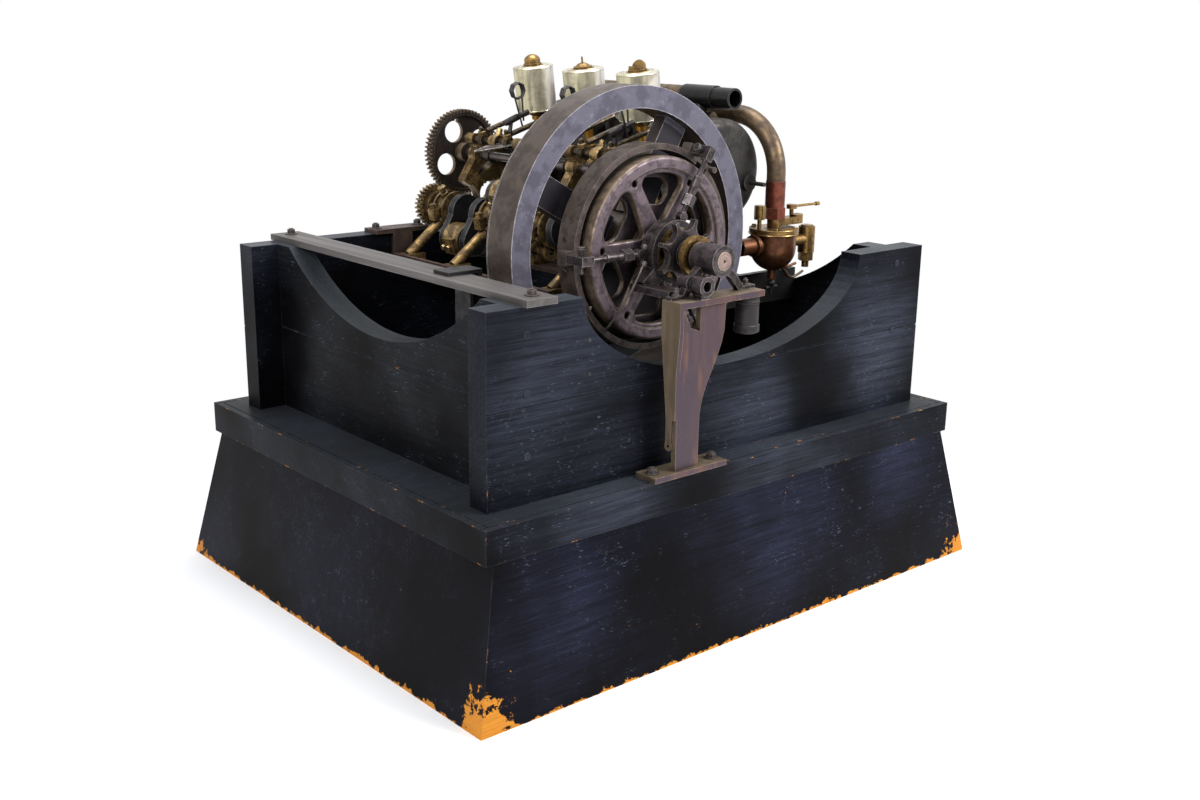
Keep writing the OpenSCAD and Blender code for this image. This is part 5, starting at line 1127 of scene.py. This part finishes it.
@dataclass
class Drum:
    """The clutch drum: a turned rim and hub, six cast spokes, and a web with oval holes behind them."""

    back_y: float = -236.0
    width: float = 59.0
    rim_r: float = 151.0
    rim_in_r: float = 131.0
    rim_round: float = 6.0
    rim_sides: int = 144
    hub_r: float = 36.0
    hub_sides: int = 64
    bore_r: float = 20.06
    chamfer: float = 2.0
    hub_grip: float = 6.0
    spokes: int = 6
    turned: float = 3.0
    spoke_back: float = 39.0
    spoke_front: float = 54.0
    spoke_half: float = 12.5
    near_r: float = 50.0
    near_round: float = 8.0
    far_r: float = 111.0
    far_round: float = 12.0
    reach_r: float = 124.0
    web_back: float = 16.0
    web_front: float = 26.0
    oval_at: float = 92.0
    oval_r: float = 22.0
    oval_half: float = 15.0
    eye_at: float = 123.0
    eye_r: float = 5.5
    soft: float = 3.4

    def rim(self) -> list[tuple[float, float]]:
        """Draws the rim's section, with a round outer front edge.

        Returns:
            Radius and height of each point.
        """
        inner, front, r = self.rim_in_r, self.width, self.rim_round
        bow = [(self.rim_r - r * (1 - math.sin(a)), front - r * (1 - math.cos(a)))
               for a in (math.pi / 2 * (1 - k / 5) for k in range(6))]
        return [(inner, 0), (self.rim_r, 0), *bow, (inner + self.chamfer, front),
                (inner, front - self.chamfer)]

    def window(self, turn: float) -> list[Vector]:
        """Draws the pear-shaped opening between two spokes.

        Args:
            turn: The opening's middle, in degrees.

        Returns:
            The outline.
        """
        lean = math.pi / self.spokes - math.asin((self.spoke_half + self.far_round) / self.far_r)
        inside = circle(self.near_r, 0.0, self.near_round)
        for side in (-1, 1):
            inside += circle(self.far_r * math.cos(lean), side * self.far_r * math.sin(lean), self.far_round)
        for a in (lean * k / 8 for k in range(-8, 9)):
            inside.append(Vector((self.reach_r * math.cos(a), self.reach_r * math.sin(a))))
        return wrapped(inside, turn)

    def build(self) -> None:
        """Turns the rim and hub and casts the spokes and the web."""
        step = 360 / self.spokes
        middles = [step * (k + 0.5) for k in range(self.spokes)]
        hub, bore, front, cut = self.hub_r, self.bore_r, self.width, self.chamfer
        drum = Shape()
        drum.turn(self.rim(), (0, 0, 0), sides=self.rim_sides, ring=True)
        drum.turn([(bore, 0), (hub, 0), (hub, front - cut), (hub - cut, front), (bore, front)], (0, 0, 0),
                  sides=self.hub_sides, ring=True)
        # Both plates start inside the hub and end in the middle of the rim
        disc = [circle(0.0, 0.0, (self.rim_in_r + self.rim_r) / 2, self.rim_sides),
                circle(0.0, 0.0, hub - self.hub_grip, points=48)]
        eyes = [circle(self.eye_at * math.cos(a), self.eye_at * math.sin(a), self.eye_r, points=20)
                for a in (math.radians(step * k) for k in range(self.spokes))]
        drum.cast([*disc, *eyes, *(self.window(turn) for turn in middles)],
                  self.spoke_back, self.spoke_front, self.soft)
        oval = [p for side in (-1, 1)
                for p in circle(self.oval_at, side * self.oval_half, self.oval_r, points=40)]
        drum.cast([*disc, *(wrapped(oval, turn) for turn in middles)], self.web_back, self.web_front,
                  self.soft / 2)
        drum.place(on_shaft(self.back_y), self.turned)
        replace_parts(drum.finish("cast_drum", Look.DRUM, "clutch"), "clutch_drum")


@dataclass
class GreaseCup:
    """The flanged cup that hangs under the right end of the bracket's plate."""

    foot: Point = (-3.0, -409.0, 512.6)
    profile: Profile = ((0, 0), (15.5, 0), (16.5, 2), (20.5, 2), (21.5, 3), (21.5, 14), (20.5, 15),
                        (19.6, 15), (19.6, 50.2), (20.4, 51.2), (20.4, 54.2), (19.6, 55.2), (19.6, 62.2),
                        (0, 62.2))

    def build(self) -> None:
        """Turns the cup."""
        cup = Shape()
        cup.turn(self.profile, self.foot, sides=48)
        cup.finish("grease_cup", Look.DARK_IRON)


@dataclass
class ShaftEnd:
    """The thrust washer and centre mark on the free end of the crankshaft."""

    end_y: float = -437.0
    washer: Profile = ((2.4, 1.6), (2.4, 3.0), (4.2, 3.6), (9.0, 3.6), (9.6, 2.9), (14.5, 2.9), (15.4, 2.0),
                       (15.4, 0.0), (2.4, 0.0))

    def build(self) -> None:
        """Turns the end washer."""
        end = Shape()
        end.turn(self.washer, on_shaft(self.end_y), (0, -1, 0), sides=40, ring=True)
        end.finish("shaft_end_washer", Look.HANDLED, "crank")


@dataclass
class Carburettor:
    """Screws, beads and the curled drip pipe of the carburettor."""

    lid_z: float = 632.0
    lid_r: float = 46.0
    screw_r: float = 39.0
    screw_angles: tuple[float, ...] = (50.0, 130.0, 230.0, 310.0)
    screw: Head = Head(3.6, 1.6, 16, 0.8, 1.0)
    # How far each bead is inside the lid's edge and below its top, and its own radius
    beads: tuple[tuple[float, float, float], ...] = ((0.0, 10.0, 1.4), (0.6, 1.0, 1.0))
    # The drip pipe's path: X, the way out from the bowl's middle and Z
    drip: tuple[Point, ...] = ((329, 0, 556), (338, 0, 545), (346, 0, 536), (358, -1, 531), (372, -2, 535),
                               (386, -3, 541))
    drip_radii: tuple[float, ...] = (4.4, 4.2, 3.0, 2.6, 2.6, 2.4)

    def build(self) -> None:
        """Dresses the lid, the bowl and the elbow."""
        x, y, _ = middle("intake_union")
        screws = [((x + self.screw_r * math.cos(a), y + self.screw_r * math.sin(a), self.lid_z), (0, 0, 1))
                  for a in (math.radians(d) for d in self.screw_angles)]
        Fasteners("lid_screws", Look.BRASS, self.screw, screws).build()
        rim, drip = Shape(), Shape()
        for inside, below, thick in self.beads:
            rim.bead(self.lid_r - inside, thick, (x, y, self.lid_z - below), (0, 0, 1))
        rim.finish("lid_beads", Look.BRASS)
        drip.bend([(px, y + out, pz) for px, out, pz in self.drip], self.drip_radii)
        drip.finish("drip_pipe", Look.PIPE)


def seen_directly(tree: Tree) -> Socket:
    """Tells the rays that show the background as it is: the camera's, a mirror's and a glass's.

    Args:
        tree: The node tree.

    Returns:
        1 for such a ray, 0 for the light on the object.
    """
    ray = add_node(tree, "ShaderNodeLightPath").outputs
    return mask(tree, *(ray[f"Is {kind} Ray"] for kind in ("Camera", "Glossy", "Transmission")),
                joined="MAXIMUM")


@dataclass
class Studio:
    """The pale floor, the soft lights and the camera at the photograph's angle, in metres."""

    azimuth: float = -41.01
    elevation: float = 15.671
    roll: float = 0.826
    eye: Point = (-1.6272, -1.9133, 1.0108)
    lens_px: float = 1370.378
    image_px: float = 1200.0
    sensor_mm: float = 36.0
    farthest: float = 200.0
    floor_r: float = 40.0
    # The object's own shadow stays within arm's reach of it; past that the floor fades to the background
    shadow_r: float = 0.75
    fade_r: float = 1.25
    aim_at: Point = (0.0, 0.0, 0.5)
    # Each lamp's place, its side and its power in watts
    lamps: dict[str, tuple[Point, float, float]] = field(default_factory=lambda: {
        "key": ((2.0, -3.2, 3.0), 2.0, 210.0),
        "fill": ((-3.6, -1.2, 2.8), 2.2, 110.0),
        "top": ((0.2, 0.4, 4.2), 2.4, 120.0)})

    def camera(self) -> None:
        """Stands the camera where the photograph was taken from."""
        a, e, r = (math.radians(x) for x in (self.azimuth, self.elevation, self.roll))
        back = Vector((math.sin(a) * math.cos(e), -math.cos(a) * math.cos(e), math.sin(e)))
        level = Vector((math.cos(a), math.sin(a), 0.0))
        right = level * math.cos(r) + back.cross(level) * math.sin(r)
        up = back.cross(right)
        data = bpy.data.cameras.new("camera")
        data.sensor_width = self.sensor_mm
        data.lens = self.lens_px / self.image_px * self.sensor_mm
        data.clip_end = self.farthest
        seen = bpy.data.objects.new("camera", data)
        bpy.context.scene.collection.objects.link(seen)
        seen.matrix_world = Matrix.Translation(self.eye) @ Matrix((right, up, back)).transposed().to_4x4()
        bpy.context.scene.camera = seen

    def floor(self) -> None:
        """Lays a wide pale floor that fades to the white background."""
        bpy.ops.mesh.primitive_circle_add(vertices=64, radius=self.floor_r, fill_type="NGON")
        floor = bpy.context.object
        floor.name = "studio_floor"
        made = bpy.data.materials.new("pale_floor")
        made.use_nodes = True
        tree = made.node_tree
        tree.nodes.clear()
        place = add_node(tree, "ShaderNodeTexCoord").outputs["Object"]
        away = add_node(tree, "ShaderNodeVectorMath", {0: place}, operation="LENGTH").outputs["Value"]
        fade = mask(tree, Band(away, self.shadow_r, self.fade_r), seen_directly(tree))
        pale = add_node(tree, "ShaderNodeBsdfDiffuse", {"Color": "#fbfbfc"})
        white = add_node(tree, "ShaderNodeEmission", {"Color": "#ffffff", "Strength": 1.0})
        mix = add_node(tree, "ShaderNodeMixShader",
                       {"Fac": fade, 1: pale.outputs["BSDF"], 2: white.outputs["Emission"]})
        add_node(tree, "ShaderNodeOutputMaterial", {"Surface": mix.outputs["Shader"]})
        floor.data.materials.append(made)

    def world(self) -> None:
        """Hangs a white surround to look at, and a grey one to light the engine."""
        world = bpy.data.worlds.new("studio")
        bpy.context.scene.world = world
        world.use_nodes = True
        tree = world.node_tree
        tree.nodes.clear()
        soft = add_node(tree, "ShaderNodeBackground", {"Color": "#dfe3ea", "Strength": 0.4})
        white = add_node(tree, "ShaderNodeBackground", {"Color": "#ffffff", "Strength": 1.0})
        mix = add_node(tree, "ShaderNodeMixShader",
                       {"Fac": seen_directly(tree), 1: soft.outputs["Background"],
                        2: white.outputs["Background"]})
        add_node(tree, "ShaderNodeOutputWorld", {"Surface": mix.outputs["Shader"]})

    def light(self) -> None:
        """Hangs the soft boxes, each turned to the middle of the engine."""
        for name, (place, side, power) in self.lamps.items():
            data = bpy.data.lights.new(name, "AREA")
            data.shape = "SQUARE"
            data.size = side
            data.energy = power
            lamp = bpy.data.objects.new(name, data)
            bpy.context.scene.collection.objects.link(lamp)
            lamp.location = place
            lamp.rotation_euler = (Vector(self.aim_at) - Vector(place)).to_track_quat("-Z", "Y").to_euler()

    def build(self) -> None:
        """Sets up the whole studio."""
        self.camera()
        self.floor()
        self.world()
        self.light()
        bpy.context.scene.view_settings.view_transform = "Standard"
        LOG.info("studio is ready")


def main() -> None:
    """Dresses the frame and sets up the studio."""
    logging.basicConfig(level=logging.INFO, format="%(name)s: %(message)s")
    Studio().build()
    dress_cad_nodes()
    for part in (Stand(), Crankcase(), ValveGear(), Oilers(), Clutch(), Drum(), GreaseCup(), ShaftEnd(),
                 Carburettor()):
        part.build()


if __name__ == "__main__":
    main()
